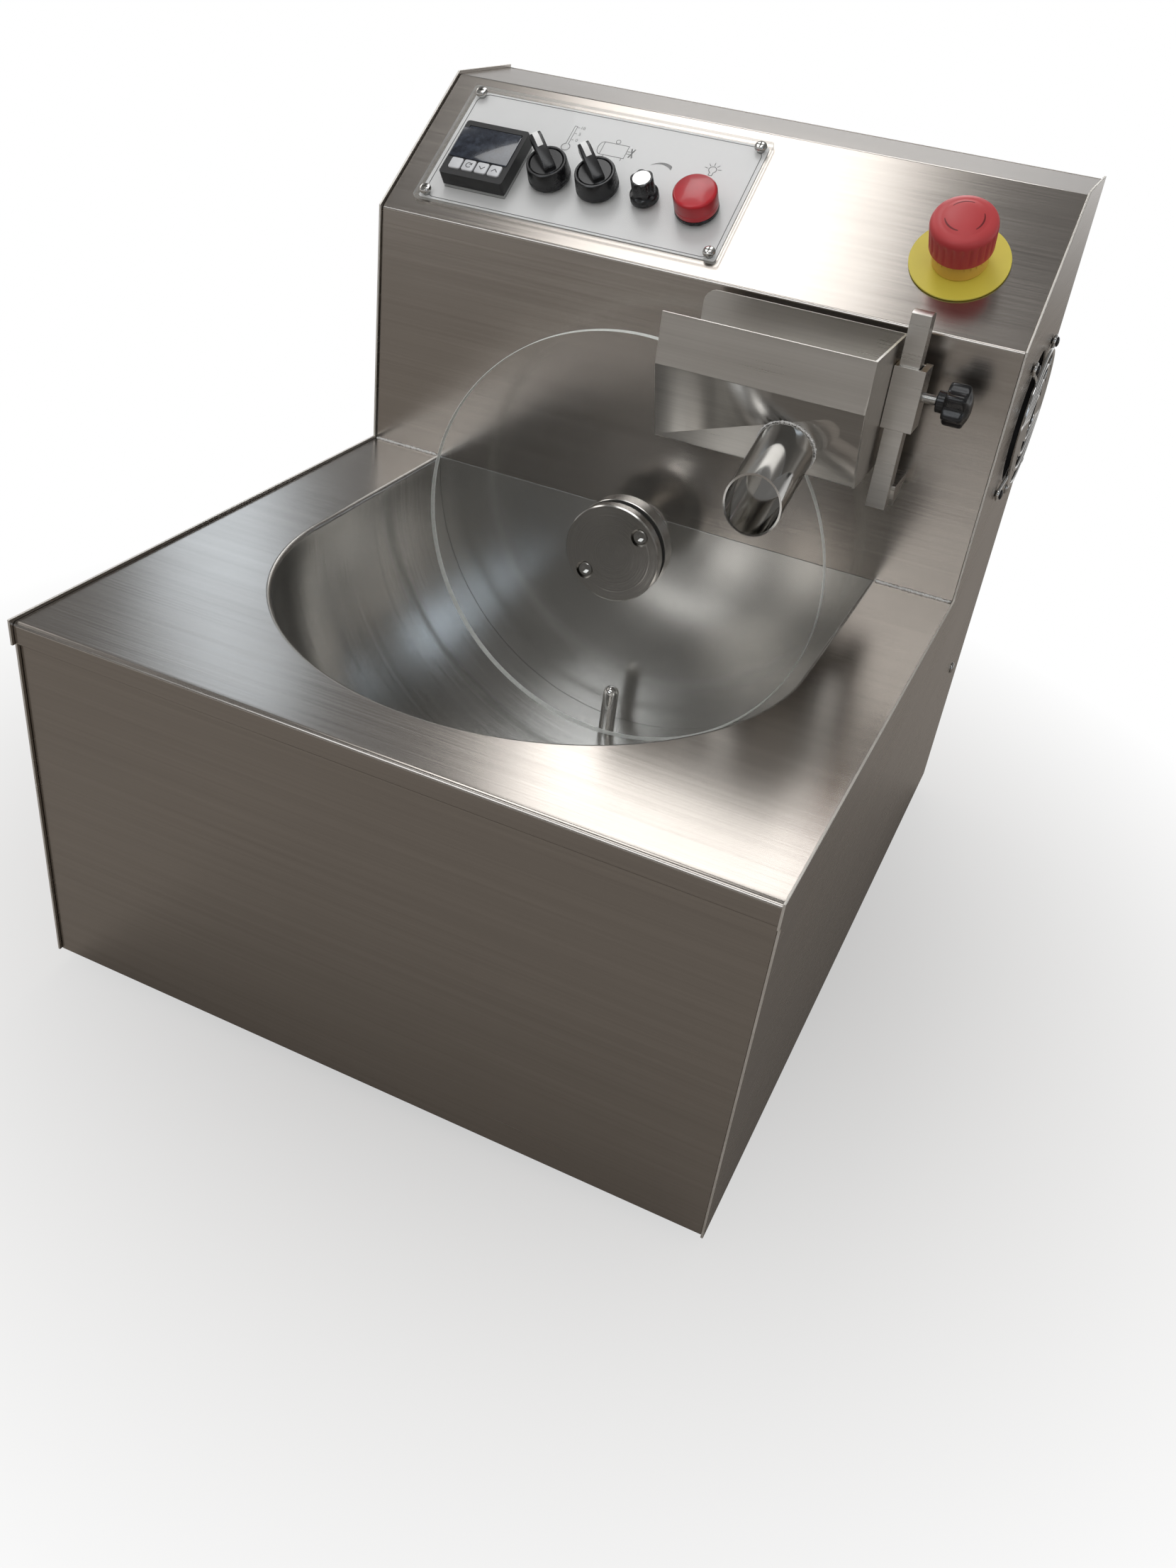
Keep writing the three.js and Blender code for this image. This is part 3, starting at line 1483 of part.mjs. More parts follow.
// Speed control: a potentiometer under the console, with a fluted knob on its spindle
function speedControl() {
  const base = coverTop + seat;
  const canTop = -sheet - seat;
  const nutTop = base + potNutThickness;
  const group = new THREE.Group();
  group.position.set(...speedPlace, 0);
  consoleGroup.add(group);
  const bore = spindleRadius + seat;
  const spindleFloor = nutTop - spindleDepth - seat;
  const can = turned([
    [0, canTop - potCanDepth],
    [potCanRadius, canTop - potCanDepth],
    [potCanRadius, canTop],
    [potBushRadius, canTop],
    [potBushRadius, nutTop],
    [bore, nutTop],
    [bore, spindleFloor],
    [0, spindleFloor],
  ], smallSides);
  const spindleHole = rod(bore, base - overrun, nutTop + overrun, "z", smallSides);
  const nut = cut(rod(potNutRadius, base, nutTop, "z", screwSides), spindleHole);
  piece("speed_potentiometer", join(can, nut), castAluminium, group);
  const knobBottom = base + seat;
  const ceiling = nutTop + 2 * seat;
  const top = knobBottom + speedKnobHeight;
  const knob = fluted([
    [0, nutTop - spindleDepth],
    [spindleRadius, nutTop - spindleDepth],
    [spindleRadius, ceiling],
    [speedSkirtRadius - speedWall, ceiling],
    [speedSkirtRadius - speedWall, knobBottom],
    [speedSkirtRadius, knobBottom],
    [speedSkirtRadius, knobBottom + speedSkirtHeight - speedHollow],
    [speedTopRadius + speedHollow / 2, knobBottom + speedSkirtHeight, speedHollow],
    [speedTopRadius, top - speedHollow, speedHollow],
    [speedTopRadius - speedHollow / 2, top, speedHollow],
    [0, top],
  ], 6, 4);
  piece("speed_knob", knob, blackPlastic, group);
}

// Pilot lamp: a ring on a barrel, and a red lens with a rounded edge
function pilotLamp() {
  const base = coverTop + seat;
  const ringTop = base + lampRingHeight;
  const group = new THREE.Group();
  group.position.set(...lampPlace, 0);
  consoleGroup.add(group);
  const ring = [
    [barrelRadius, base],
    [lampRadius, base],
    [lampRadius, ringTop],
    [0, ringTop],
  ];
  const body = turned([...barrelRows(), ...ring]);
  piece("pilot_lamp_body", join(body, contactBlock()), blackPlastic, group);
  const top = base + lampHeight;
  const edge = range(cornerSteps + 1).map((i) => {
    const angle = (Math.PI * i) / (2 * cornerSteps);
    return [lampRadius - lampRound * (1 - Math.cos(angle)), top - lampRound * (1 - Math.sin(angle))];
  });
  const lens = turned([[0, ringTop + seat], [lampRadius, ringTop + seat], ...edge, [0, top]]);
  piece("pilot_lamp_lens", lens, redLens, group);
}

speedControl();
pilotLamp();

// Stop button: a round plate, a collar on a barrel, a stem that is pressed in and a head that twists on it
const stopGroup = new THREE.Group();
stopGroup.position.set(...stopPlace, 0);
consoleGroup.add(stopGroup);

function stopPlateDisc() {
  const hole = circle(barrelHole, smallSides);
  const disc = extrude(circle(stopPlateRadius, hubSides), seat, seat + stopPlate, "z", [hole]);
  piece("estop_plate", disc, yellowPlastic, stopGroup);
}

function stopBody() {
  const base = 2 * seat + stopPlate;
  const bore = stopStemRadius + seat;
  const floor = -stopStemDepth - stopTravel - seat;
  const body = turned([
    ...barrelRows(),
    [barrelRadius, base],
    [stopCollarRadius, base],
    [stopCollarRadius, stopCollarHeight],
    [bore, stopCollarHeight],
    [bore, floor],
    [0, floor],
  ]);
  piece("estop_body", join(body, contactBlock()), orangePlastic, stopGroup);
}

function stopStem() {
  piece("estop_stem", rod(stopStemRadius, -stopStemDepth, stopStemTop), blackPlastic, stopGroup);
}

function stopHead() {
  const bore = stopStemRadius + seat;
  const inner = stopCollarRadius + 2 * seat;
  const domeRise = stopTopHeight - stopShoulderHeight;
  const head = fluted([
    [0, stopStemTop + seat],
    [bore, stopStemTop + seat],
    [bore, stopCeiling],
    [inner, stopCeiling],
    [inner, stopRimHeight],
    [stopRimRadius, stopRimHeight, stopHollow],
    [stopWideRadius, stopWideHeight, stopHollow],
    [stopWideRadius, (stopWideHeight + stopShoulderHeight) / 2],
    [stopShoulderRadius, stopShoulderHeight],
    [stopShoulderRadius * domeRadiusShare, stopShoulderHeight + domeRise * domeRiseShare],
    [0, stopTopHeight],
  ], 16, 2);
  piece("estop_head", head, redPlastic, stopGroup);
}

// A point on the head's dome, as shares of its shoulder radius and its rise
const domeRadiusShare = 0.62;
const domeRiseShare = 0.72;

stopPlateDisc();
stopBody();
stopStem();
stopHead();

// The part's origin is the middle of its footprint, on the surface that the feet stand on
const back = bodyDepth + seat + inletFlange;
machine.position.set(-guardProud / 2, (lipStep - back) / 2, seat + footHeight);

const part = new THREE.Group();
part.name = "chocolate_tempering_machine";
part.add(machine);

export default part;
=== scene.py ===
# Chocolate tempering machine, dressed for the studio
import json
import math
import random

import bmesh
import bpy
from mathutils import Matrix, Vector

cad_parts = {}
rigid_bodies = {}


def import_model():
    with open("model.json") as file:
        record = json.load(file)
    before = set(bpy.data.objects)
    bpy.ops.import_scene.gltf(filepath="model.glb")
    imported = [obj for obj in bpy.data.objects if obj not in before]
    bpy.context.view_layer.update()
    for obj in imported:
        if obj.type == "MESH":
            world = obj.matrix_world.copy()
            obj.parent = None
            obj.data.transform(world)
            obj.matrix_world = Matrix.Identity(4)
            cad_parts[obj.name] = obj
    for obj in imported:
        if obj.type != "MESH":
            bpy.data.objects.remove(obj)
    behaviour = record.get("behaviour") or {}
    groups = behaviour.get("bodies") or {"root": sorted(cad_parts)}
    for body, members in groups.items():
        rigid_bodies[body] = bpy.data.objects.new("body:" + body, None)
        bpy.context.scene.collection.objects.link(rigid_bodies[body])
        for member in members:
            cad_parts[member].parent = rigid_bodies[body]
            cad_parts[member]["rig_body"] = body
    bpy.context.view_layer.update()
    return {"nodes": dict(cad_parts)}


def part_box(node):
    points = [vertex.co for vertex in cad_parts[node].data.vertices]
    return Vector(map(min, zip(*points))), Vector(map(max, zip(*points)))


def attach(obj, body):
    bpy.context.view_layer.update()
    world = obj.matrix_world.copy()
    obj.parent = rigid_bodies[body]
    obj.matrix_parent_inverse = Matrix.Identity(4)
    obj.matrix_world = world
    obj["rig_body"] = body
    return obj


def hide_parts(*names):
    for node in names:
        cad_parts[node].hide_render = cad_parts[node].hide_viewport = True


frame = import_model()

scene = bpy.context.scene
METRES = 0.001  # shapes are drawn in millimetres

# Sizes and places that several sections share, in the machine's own millimetres
FOOT_HEIGHT = 12.3
SHEET = 1.5
SHEET_HALF = 218.2
DECK_TOP = 233.5
DECK_BACK = 361.0
BOWL_RADIUS = 163.3
BOWL_CENTRE_Y = 206.0
RIM = 3.0
OPENING = BOWL_RADIUS + RIM
WHEEL_AT = (0, 316, 224)
CLAMP_AT = (166.6, 330, 366.5)
FAN_AT = (220, 461, 332)
SPOUT_AT = (108.3, 284.12, 333)
FOLD_Y, FOLD_Z, FACE_UNDER_FOLD = 359.3, 397.1, 2
slope = math.atan2(75.4, 100.2)
slant = math.atan2(18, 49)

# Places on the console, across it and up its slope
CASE_AT = (-160.2, 50.1)
SWITCHES_AT = {"heat": (-113.8, 50.7), "motor": (-78.8, 50.7)}
SPEED_AT = (-44.5, 49.5)
LAMP_AT = (-8.2, 49.8)
STOP_AT = (161.3, 55.5)
SCREWS_ACROSS, SCREWS_UP = (-192.6, 12.6), (18.9, 108.4)
PLATE_TOP = 3.8
INK_LOW, INK_HIGH = 0.74, 0.8
CONSOLE_NORMAL = (0, -math.sin(slope), math.cos(slope))


# Frames of the machine, the console and the parts that sit askew
def axes(x, y, z, at):
    place = Matrix((x, y, z)).transposed().to_4x4()
    place.translation = at
    return place


SIDEWAYS = ((0, 0, -1), (0, 1, 0), (1, 0, 0))
machine = Matrix.Translation((-3.3, -268.7, FOOT_HEIGHT))
face_y = FOLD_Y + FACE_UNDER_FOLD * math.sin(slope)
face_z = FOLD_Z - FACE_UNDER_FOLD * math.cos(slope)
console = machine @ Matrix.Translation((0, face_y, face_z)) @ Matrix.Rotation(slope, 4, "X")
wheel_place = machine @ axes((1, 0, 0), (0, 0, -1), (0, 1, 0), WHEEL_AT)
clamp_place = machine @ axes(*SIDEWAYS, CLAMP_AT)
fan_place = machine @ axes(*SIDEWAYS, FAN_AT)
spout_up = (0, -math.sin(slant), math.cos(slant))
spout_way = (0, -math.cos(slant), -math.sin(slant))
spout_place = machine @ axes((1, 0, 0), spout_up, spout_way, SPOUT_AT)

WHEEL_CENTRE = (machine @ Vector(WHEEL_AT)) * METRES
KNOB_CENTRE = (console @ Vector((*SPEED_AT, 0))) * METRES


def on_console(at, height=0.0):
    return console @ Matrix.Translation((*at, height))


# Nodes of a shader or a shape, written as expressions
class Value:
    """A node's output; an operator on it adds a Math node"""

    def __init__(self, nodes, socket):
        self.nodes = nodes
        self.socket = socket

    def maths(self, operation, *operands):
        inputs = dict(enumerate(operands))
        return self.nodes.add("ShaderNodeMath", {"operation": operation}, inputs)

    def __add__(self, other):
        return self.maths("ADD", self, other)

    def __sub__(self, other):
        return self.maths("SUBTRACT", self, other)

    def __rsub__(self, other):
        return self.maths("SUBTRACT", other, self)

    def __mul__(self, other):
        return self.maths("MULTIPLY", self, other)

    def __truediv__(self, other):
        return self.maths("DIVIDE", self, other)

    def __pow__(self, other):
        return self.maths("POWER", self, other)

    __radd__ = __add__
    __rmul__ = __mul__

    def clamped(self):
        return self.maths("MAXIMUM", self.maths("MINIMUM", self, 1.0), 0.0)

    def sine(self):
        return self.maths("SINE", self)

    def cosine(self):
        return self.maths("COSINE", self)

    def floor(self):
        return self.maths("FLOOR", self)


class Nodes:
    def __init__(self, tree):
        self.tree = tree
        tree.nodes.clear()

    def add(self, kind, settings=None, inputs=None, output=0):
        node = self.tree.nodes.new(kind)
        for name, value in (settings or {}).items():
            setattr(node, name, value)
        for name, value in (inputs or {}).items():
            if isinstance(value, Value):
                self.tree.links.new(value.socket, node.inputs[name])
            else:
                node.inputs[name].default_value = value
        return Value(self, node.outputs[output]) if node.outputs else None

    def parts(self, vector):
        return [self.add("ShaderNodeSeparateXYZ", {}, {0: vector}, i) for i in range(3)]

    def blend(self, factor, first, second):
        first, second = [c if isinstance(c, Value) else (*c, 1) for c in (first, second)]
        return self.add("ShaderNodeMix", {"data_type": "RGBA"}, {0: factor, 6: first, 7: second}, 2)


# Finishes
def finish(name, slot, paint):
    material = bpy.data.materials.new(name)
    material.use_nodes = True
    material["slot"] = slot
    nodes = Nodes(material.node_tree)
    nodes.add("ShaderNodeOutputMaterial", {}, {"Surface": paint(nodes)})
    return material


def places(nodes, centre=(0, 0, 0), scale=(1, 1, 1)):
    where = nodes.add("ShaderNodeTexCoord", {}, {}, 3)
    moved = nodes.add("ShaderNodeVectorMath", {"operation": "SUBTRACT"}, {0: where, 1: centre})
    return nodes.add("ShaderNodeVectorMath", {"operation": "MULTIPLY"}, {0: moved, 1: scale})


def noise(nodes, where, scale=1.0, detail=2.0, roughness=0.5):
    inputs = {"Vector": where, "Scale": scale, "Detail": detail, "Roughness": roughness}
    return nodes.add("ShaderNodeTexNoise", {}, inputs)


def bump(nodes, height, depth):
    inputs = {"Height": height, "Distance": depth * METRES, "Strength": 1.0}
    return nodes.add("ShaderNodeBump", {}, inputs)


def principled(nodes, **sockets):
    inputs = {name.replace("_", " "): value for name, value in sockets.items()}
    if not isinstance(inputs.get("Base Color"), (Value, type(None))):
        inputs["Base Color"] = (*inputs["Base Color"], 1)
    return nodes.add("ShaderNodeBsdfPrincipled", {}, inputs)


def brushed(name, slot, grain, tone, gloss=0.2, depth=0.03):
    """Steel with a grain, that is fine where its scale is high, and slight blotches"""

    def paint(nodes):
        lines = noise(nodes, places(nodes, (0, 0, 0), grain), 1.0, 3.0, 0.65)
        strokes = noise(nodes, places(nodes, (0, 0, 0), [fine * 0.3 for fine in grain]), 1.0, 2.0, 0.5)
        patches = noise(nodes, places(nodes), 9.0, 2.0, 0.5)
        dark = [c * 0.92 for c in tone]
        light = [min(c * 1.08, 1) for c in tone]
        colour = nodes.blend(((strokes * 0.4 + lines * 0.6 - 0.3) * 2.5).clamped(), dark, light)
        rough = gloss + (patches - 0.5) * 0.1 + (lines - 0.5) * 0.12
        return principled(
            nodes, Base_Color=colour, Metallic=1.0, Roughness=rough, Normal=bump(nodes, lines, depth)
        )

    return finish(name, slot, paint)


def turned_steel(name, slot, centre, axis, tone, gloss, depth):
    """Steel faced on a lathe, with fine rings about an axis"""

    def paint(nodes):
        x, y, z = nodes.parts(places(nodes, centre))
        along = x * axis[0] + y * axis[1] + z * axis[2]
        radius = (x * x + y * y + z * z - along * along).clamped() ** 0.5
        inputs = {"W": radius, "Scale": 1300.0, "Detail": 2.0, "Roughness": 0.6}
        rings = nodes.add("ShaderNodeTexNoise", {"noise_dimensions": "1D"}, inputs)
        colour = nodes.blend(rings, [c * 0.85 for c in tone], tone)
        return principled(
            nodes, Base_Color=colour, Metallic=1.0, Roughness=gloss + (rings - 0.5) * 0.1,
            Normal=bump(nodes, rings, depth)
        )

    return finish(name, slot, paint)


def metal(name, slot, tone, gloss, wear=0.08, depth=0.004, scale=350.0):
    def paint(nodes):
        marks = noise(nodes, places(nodes), scale, 3.0, 0.6)
        patches = noise(nodes, places(nodes), 30.0, 2.0, 0.5)
        colour = nodes.blend(patches, [c * 0.88 for c in tone], tone)
        rough = gloss + (patches - 0.4) * wear
        return principled(
            nodes, Base_Color=colour, Metallic=1.0, Roughness=rough, Normal=bump(nodes, marks, depth)
        )

    return finish(name, slot, paint)


def moulded(name, slot, tone, gloss, grain=0.01, scale=900.0, coat=0.0, shade=0.85):
    """Plastic, rubber or paint with a fine grain"""

    def paint(nodes):
        grains = noise(nodes, places(nodes), scale, 2.0, 0.5)
        patches = noise(nodes, places(nodes), 40.0, 2.0, 0.5)
        colour = nodes.blend(patches, [c * shade for c in tone], tone)
        rough = gloss + (patches - 0.5) * 0.1 + (grains - 0.5) * 0.06
        return principled(
            nodes, Base_Color=colour, Roughness=rough, Coat_Weight=coat, Coat_Roughness=0.06,
            Normal=bump(nodes, grains, grain)
        )

    return finish(name, slot, paint)


def clear(name, slot, veil, edge_veil, gloss=0.04):
    """Clear sheet: it shows by its gloss, a faint veil and its edges"""

    def paint(nodes):
        facing = nodes.add("ShaderNodeLayerWeight", {}, {"Blend": 0.35}, 1)
        hazes = noise(nodes, places(nodes), 60.0, 3.0, 0.6)
        haze = veil + facing ** 2.0 * edge_veil + (hazes - 0.5) * 0.02
        rough = gloss + (hazes - 0.5) * 0.04
        return principled(
            nodes, Base_Color=(0.86, 0.88, 0.86), Roughness=rough, IOR=1.49, Alpha=haze.clamped(),
            Specular_IOR_Level=1.0
        )

    return finish(name, slot, paint)


# Painted shade: STEEL, the housing sheets' brushed steel, is toned darker than the same brushed steel of the
# folded parts, standing for the dim surroundings these sheets mirror
STEEL = (0.46, 0.425, 0.39)
ALONG_X, ALONG_Y, ROUND_Y = (5, 700, 700), (700, 5, 700), (5, 420, 5)
steel_across = brushed("steel brushed across", "brushed_steel", ALONG_X, STEEL, 0.23, 0.02)
steel_sides = brushed("steel brushed front to back", "brushed_steel", ALONG_Y, STEEL, 0.26, 0.02)
steel_box = brushed("steel brushed, folded parts", "brushed_steel", ALONG_X, (0.62, 0.6, 0.57), 0.3, 0.03)
steel_bowl = brushed("steel satin, pressed", "polished_steel", ROUND_Y, (0.6, 0.59, 0.57), 0.23, 0)
steel_bright = metal("steel polished", "polished_steel", (0.66, 0.65, 0.63), 0.08, 0.06)
steel_screw = metal("steel screws", "polished_steel", (0.6, 0.59, 0.57), 0.16, 0.1, 0.006)
# Cut edges: a rougher finish than the faces, and a much lighter tone than the sheet steel as a painted
# highlight along the edges
cut_edge_painted_highlight = metal("steel cut edge", "brushed_steel", (0.9, 0.87, 0.82), 0.55, 0.2, 0.01, 500.0)
steel_hub = turned_steel(
    "steel turned, hub", "turned_steel", WHEEL_CENTRE, (0, 1, 0), (0.62, 0.6, 0.57), 0.2, 0.02
)
steel_zinc = metal("steel zinc plated", "zinc_steel", (0.5, 0.52, 0.54), 0.35, 0.2, 0.02)
chrome = metal("chrome", "chrome_wire", (0.8, 0.8, 0.79), 0.06, 0.04, 0.002)
aluminium = metal("aluminium cast", "cast_aluminium", (0.6, 0.6, 0.6), 0.45, 0.2, 0.05, 700.0)
spun_cap = turned_steel(
    "aluminium spun", "turned_steel", KNOB_CENTRE, CONSOLE_NORMAL, (0.72, 0.72, 0.71), 0.12, 0.14
)
disc_face = clear("acrylic faces", "clear_plastic", 0.02, 0.12)
cover_face = clear("acrylic cover", "clear_plastic", 0.045, 0.25, 0.03)
cover_edge = clear("acrylic cover edge", "clear_plastic", 0.4, 0.3, 0.1)
black_gloss = moulded("plastic black, glossy", "black_plastic", (0.011, 0.011, 0.012), 0.26, 0.004)
black_matt = moulded("plastic black, matt", "black_plastic", (0.014, 0.014, 0.015), 0.48, 0.012)
white_insert = moulded("plastic white", "black_plastic", (0.88, 0.88, 0.87), 0.3, 0.003, 900.0, 0.3, 0.97)
key_white = moulded("plastic silver white", "white_key", (0.68, 0.69, 0.71), 0.3, 0.003)
red_matt = moulded("plastic red, matt", "red_plastic", (0.6, 0.055, 0.06), 0.42, 0.008)
# Dark red for the stop head's marks: painted shade standing for engraved grooves
red_groove_painted_shade = moulded("plastic dark red", "red_plastic", (0.2, 0.012, 0.015), 0.5, 0.004)
yellow = moulded("plastic yellow", "yellow_plastic", (0.82, 0.7, 0.09), 0.42, 0.003)
orange = moulded("plastic orange yellow", "orange_plastic", (0.8, 0.5, 0.1), 0.4, 0.004)
silicone = moulded("silicone mat", "silicone_mat", (0.55, 0.13, 0.04), 0.55, 0.03)
rubber = moulded("rubber black", "foot_rubber", (0.02, 0.02, 0.02), 0.7, 0.03)
motor_grey = moulded("paint dark grey", "motor_paint", (0.05, 0.055, 0.06), 0.4, 0.02)
bush_white = moulded("plastic white bush", "white_bush", (0.75, 0.75, 0.73), 0.4, 0.005)
label_ink = moulded("ink grey", "printed_label", (0.045, 0.045, 0.05), 0.4, 0.001)
label_grey = moulded("ink pale grey", "printed_label", (0.17, 0.17, 0.17), 0.4, 0.001)
label_face = moulded("label silver white", "printed_label", (0.8, 0.8, 0.8), 0.38, 0.002, 1500.0, 0.0, 0.96)


def frosted(nodes):
    grains = noise(nodes, places(nodes), 600.0, 3.0, 0.6)
    colour = nodes.blend(grains, (0.74, 0.77, 0.74), (0.9, 0.92, 0.88))
    return principled(
        nodes, Base_Color=colour, Roughness=0.35 + (grains - 0.5) * 0.2, IOR=1.49,
        Alpha=(0.8 + (grains - 0.5) * 0.4).clamped(), Normal=bump(nodes, grains, 0.03)
    )


def lens_red(nodes):
    facing = nodes.add("ShaderNodeLayerWeight", {}, {"Blend": 0.5}, 1)
    clouds = noise(nodes, places(nodes), 120.0, 2.0, 0.5)
    # Painted shade: the lens's colour turns dark red where it is seen edge-on, so its sides read darker; the
    # clouds vary its tone at random
    colour = nodes.blend((facing + (clouds - 0.5) * 0.3).clamped(), (0.68, 0.012, 0.025), (0.13, 0, 0.003))
    return principled(
        nodes, Base_Color=colour, Roughness=0.3 + (clouds - 0.5) * 0.05, IOR=1.5, Coat_Weight=0.4,
        Coat_Roughness=0.1
    )


def display(nodes):
    clouds = noise(nodes, places(nodes), 170.0, 4.0, 0.65)
    colour = nodes.blend(((clouds - 0.35) * 2.5).clamped(), (0.01, 0.013, 0.022), (0.05, 0.062, 0.088))
    return principled(nodes, Base_Color=colour, Roughness=0.12 + clouds * 0.1, Coat_Weight=0.6)


# Weld beads are coloured near white: a painted glint standing for the highlights a ground weld catches
weld_painted_glint = moulded("steel weld", "polished_steel", (0.93, 0.92, 0.9), 0.35, 0.05, 500.0, 0.4)
disc_edge = finish("acrylic frosted edge", "clear_plastic", frosted)
red_clear = finish("plastic red, clear", "red_lens", lens_red)
display_glass = finish("display glass", "display_glass", display)


# Shapes, drawn in millimetres
def oval(across, up, start, end, steps, centre=(0, 0)):
    """Points of an ellipse from one angle to another, in degrees"""
    turns = [math.radians(start + (end - start) * i / steps) for i in range(steps + 1)]
    return [(centre[0] + across * math.cos(t), centre[1] + up * math.sin(t)) for t in turns]


def arc(radius, start, end, steps, centre=(0, 0)):
    return oval(radius, radius, start, end, steps, centre)


def circle(radius, count, centre=(0, 0)):
    return arc(radius, 0, 360, count, centre)[:-1]


def scalloped(count, power, phase=1):
    """A bulge that hollows a turned row, count times round, by the row's third number"""

    def reach(angle, radius, height, hollow=0.0):
        return radius - hollow * (0.5 - phase * 0.5 * math.cos(count * angle)) ** power

    return reach


def rounded_box(width, height, corner, steps=6, centre=(0, 0)):
    x, y = width / 2 - corner, height / 2 - corner
    corners = [((x, y), 0), ((-x, y), 90), ((-x, -y), 180), ((x, -y), 270)]
    return [
        (a + centre[0], b + centre[1])
        for at, start in corners
        for a, b in arc(corner, start, start + 90, steps, at)
    ]


class Form:
    """A mesh in the making"""

    def __init__(self):
        self.mesh = bmesh.new()

    def skin(self, rings, loop=False, paint=0):
        rows = [[self.mesh.verts.new(point) for point in ring] for ring in rings]
        following = rows[1:] + rows[:1] if loop else rows[1:]
        for low, high in zip(rows, following):
            count = max(len(low), len(high))
            for i in range(count):
                j = (i + 1) % count
                corners = [low[i % len(low)], low[j % len(low)], high[j % len(high)], high[i % len(high)]]
                self.mesh.faces.new(list(dict.fromkeys(corners))).material_index = paint
        if not loop:
            for row in (rows[0], rows[-1]):
                if len(row) > 2:
                    self.mesh.faces.new(row).material_index = paint
        return self

    def turn(self, profile, sides=96, bulge=None, paint=0):
        """Turns rows of radius, height and anything else that bulge reads about the Z axis"""

        def ring(row):
            if row[0] == 0:
                return [(0, 0, row[1])]
            angles = [2 * math.pi * i / sides for i in range(sides)]
            reach = [bulge(a, *row) if bulge else row[0] for a in angles]
            return [(r * math.cos(a), r * math.sin(a), row[1]) for r, a in zip(reach, angles)]

        return self.skin([ring(row) for row in profile], profile[0][0] != 0, paint)

    def prism(self, outline, low, high, paint=0):
        return self.skin([[(x, y, z) for x, y in outline] for z in (low, high)], False, paint)

    def bar(self, outline, low, high, paint=0):
        """A prism along X of an outline in Y and Z"""
        return self.skin([[(x, y, z) for y, z in outline] for x in (low, high)], False, paint)

    def soften(self, width, segments=2, angle=30):
        limit = math.radians(angle)
        bmesh.ops.recalc_face_normals(self.mesh, faces=self.mesh.faces)
        sharp = [e for e in self.mesh.edges if e.is_manifold and e.calc_face_angle(0) > limit]
        bmesh.ops.bevel(
            self.mesh, geom=sharp, offset=width, segments=segments, profile=0.5, affect="EDGES",
            clamp_overlap=True
        )
        return self

    def move(self, place):
        self.mesh.transform(place)
        return self

    def add(self, other):
        """Takes over another form's faces"""
        spare = bpy.data.meshes.new("spare")
        other.mesh.to_mesh(spare)
        other.mesh.free()
        self.mesh.from_mesh(spare)
        bpy.data.meshes.remove(spare)
        return self

    def data(self, name, outward=True):
        if outward:
            bmesh.ops.recalc_face_normals(self.mesh, faces=self.mesh.faces)
        mesh = bpy.data.meshes.new(name)
        self.mesh.to_mesh(mesh)
        self.mesh.free()
        return mesh


def held(name, mesh, finishes=()):
    """An object in the scene, at the origin"""
    thing = bpy.data.objects.new(name, mesh)
    scene.collection.objects.link(thing)
    for material in finishes:
        mesh.materials.append(material)
    return thing


def settle(thing):
    """Applies a thing's modifiers and leaves a plain mesh"""
    graph = bpy.context.evaluated_depsgraph_get()
    mesh = bpy.data.meshes.new_from_object(thing.evaluated_get(graph))
    name = thing.name
    bpy.data.objects.remove(thing)
    mesh.name = name
    return mesh


def show(name, mesh, body, finishes, stands_for=(), smooth=35):
    finishes = finishes if isinstance(finishes, (list, tuple)) else [finishes]
    if smooth:
        mesh.shade_smooth()
        mesh.set_sharp_from_angle(angle=math.radians(smooth))
    painted = [face.material_index for face in mesh.polygons]
    mesh.materials.clear()
    piece = held(name, mesh, finishes)
    mesh.polygons.foreach_set("material_index", painted)
    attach(piece, body)
    finishes[0]["slot"]
    if stands_for:
        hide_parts(*stands_for)
    return piece


def piece(name, form, place, body, finishes, stands_for=(), smooth=35):
    form.move(Matrix.Scale(METRES, 4) @ place)
    return show(name, form.data(name), body, finishes, stands_for, smooth)


def drilled(form, *tools):
    """A form less its tools, each of them a form too"""
    thing = held("drilled", form.data("drilled"))
    cutters = []
    for tool in tools:
        cutter = held("cutter", tool.data("cutter"))
        cut = thing.modifiers.new("cut", "BOOLEAN")
        cut.operation = "DIFFERENCE"
        cut.solver = "EXACT"
        cut.object = cutter
        cutters.append(cutter)
    mesh = settle(thing)
    for cutter in cutters:
        bpy.data.objects.remove(cutter)
    result = Form()
    result.mesh.from_mesh(mesh)
    return result


def softened(node, finishes, edge=0.25, faces_to=None):
    """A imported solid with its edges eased, whose second finish is for what doesn't face a direction"""
    carried = frame["nodes"][node]
    form = Form()
    form.mesh.from_mesh(carried.data)
    bmesh.ops.remove_doubles(form.mesh, verts=form.mesh.verts, dist=2e-6)
    bmesh.ops.dissolve_limit(
        form.mesh, angle_limit=math.radians(0.4), verts=form.mesh.verts, edges=form.mesh.edges
    )
    for face in form.mesh.faces:
        face.material_index = int(bool(faces_to) and abs(face.normal.dot(Vector(faces_to))) < 0.7)
    thing = held(node + "_sheet", form.data(node, False))
    bevel = thing.modifiers.new("edges", "BEVEL")
    bevel.width = edge * METRES
    bevel.segments = 2
    bevel.limit_method = "ANGLE"
    bevel.angle_limit = math.radians(40)
    bevel.use_clamp_overlap = True
    thing.data.shade_smooth()
    weigh = thing.modifiers.new("flats", "WEIGHTED_NORMAL")
    weigh.keep_sharp = True
    mesh = settle(thing)
    return show(mesh.name, mesh, carried["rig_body"], finishes, [node], 0)


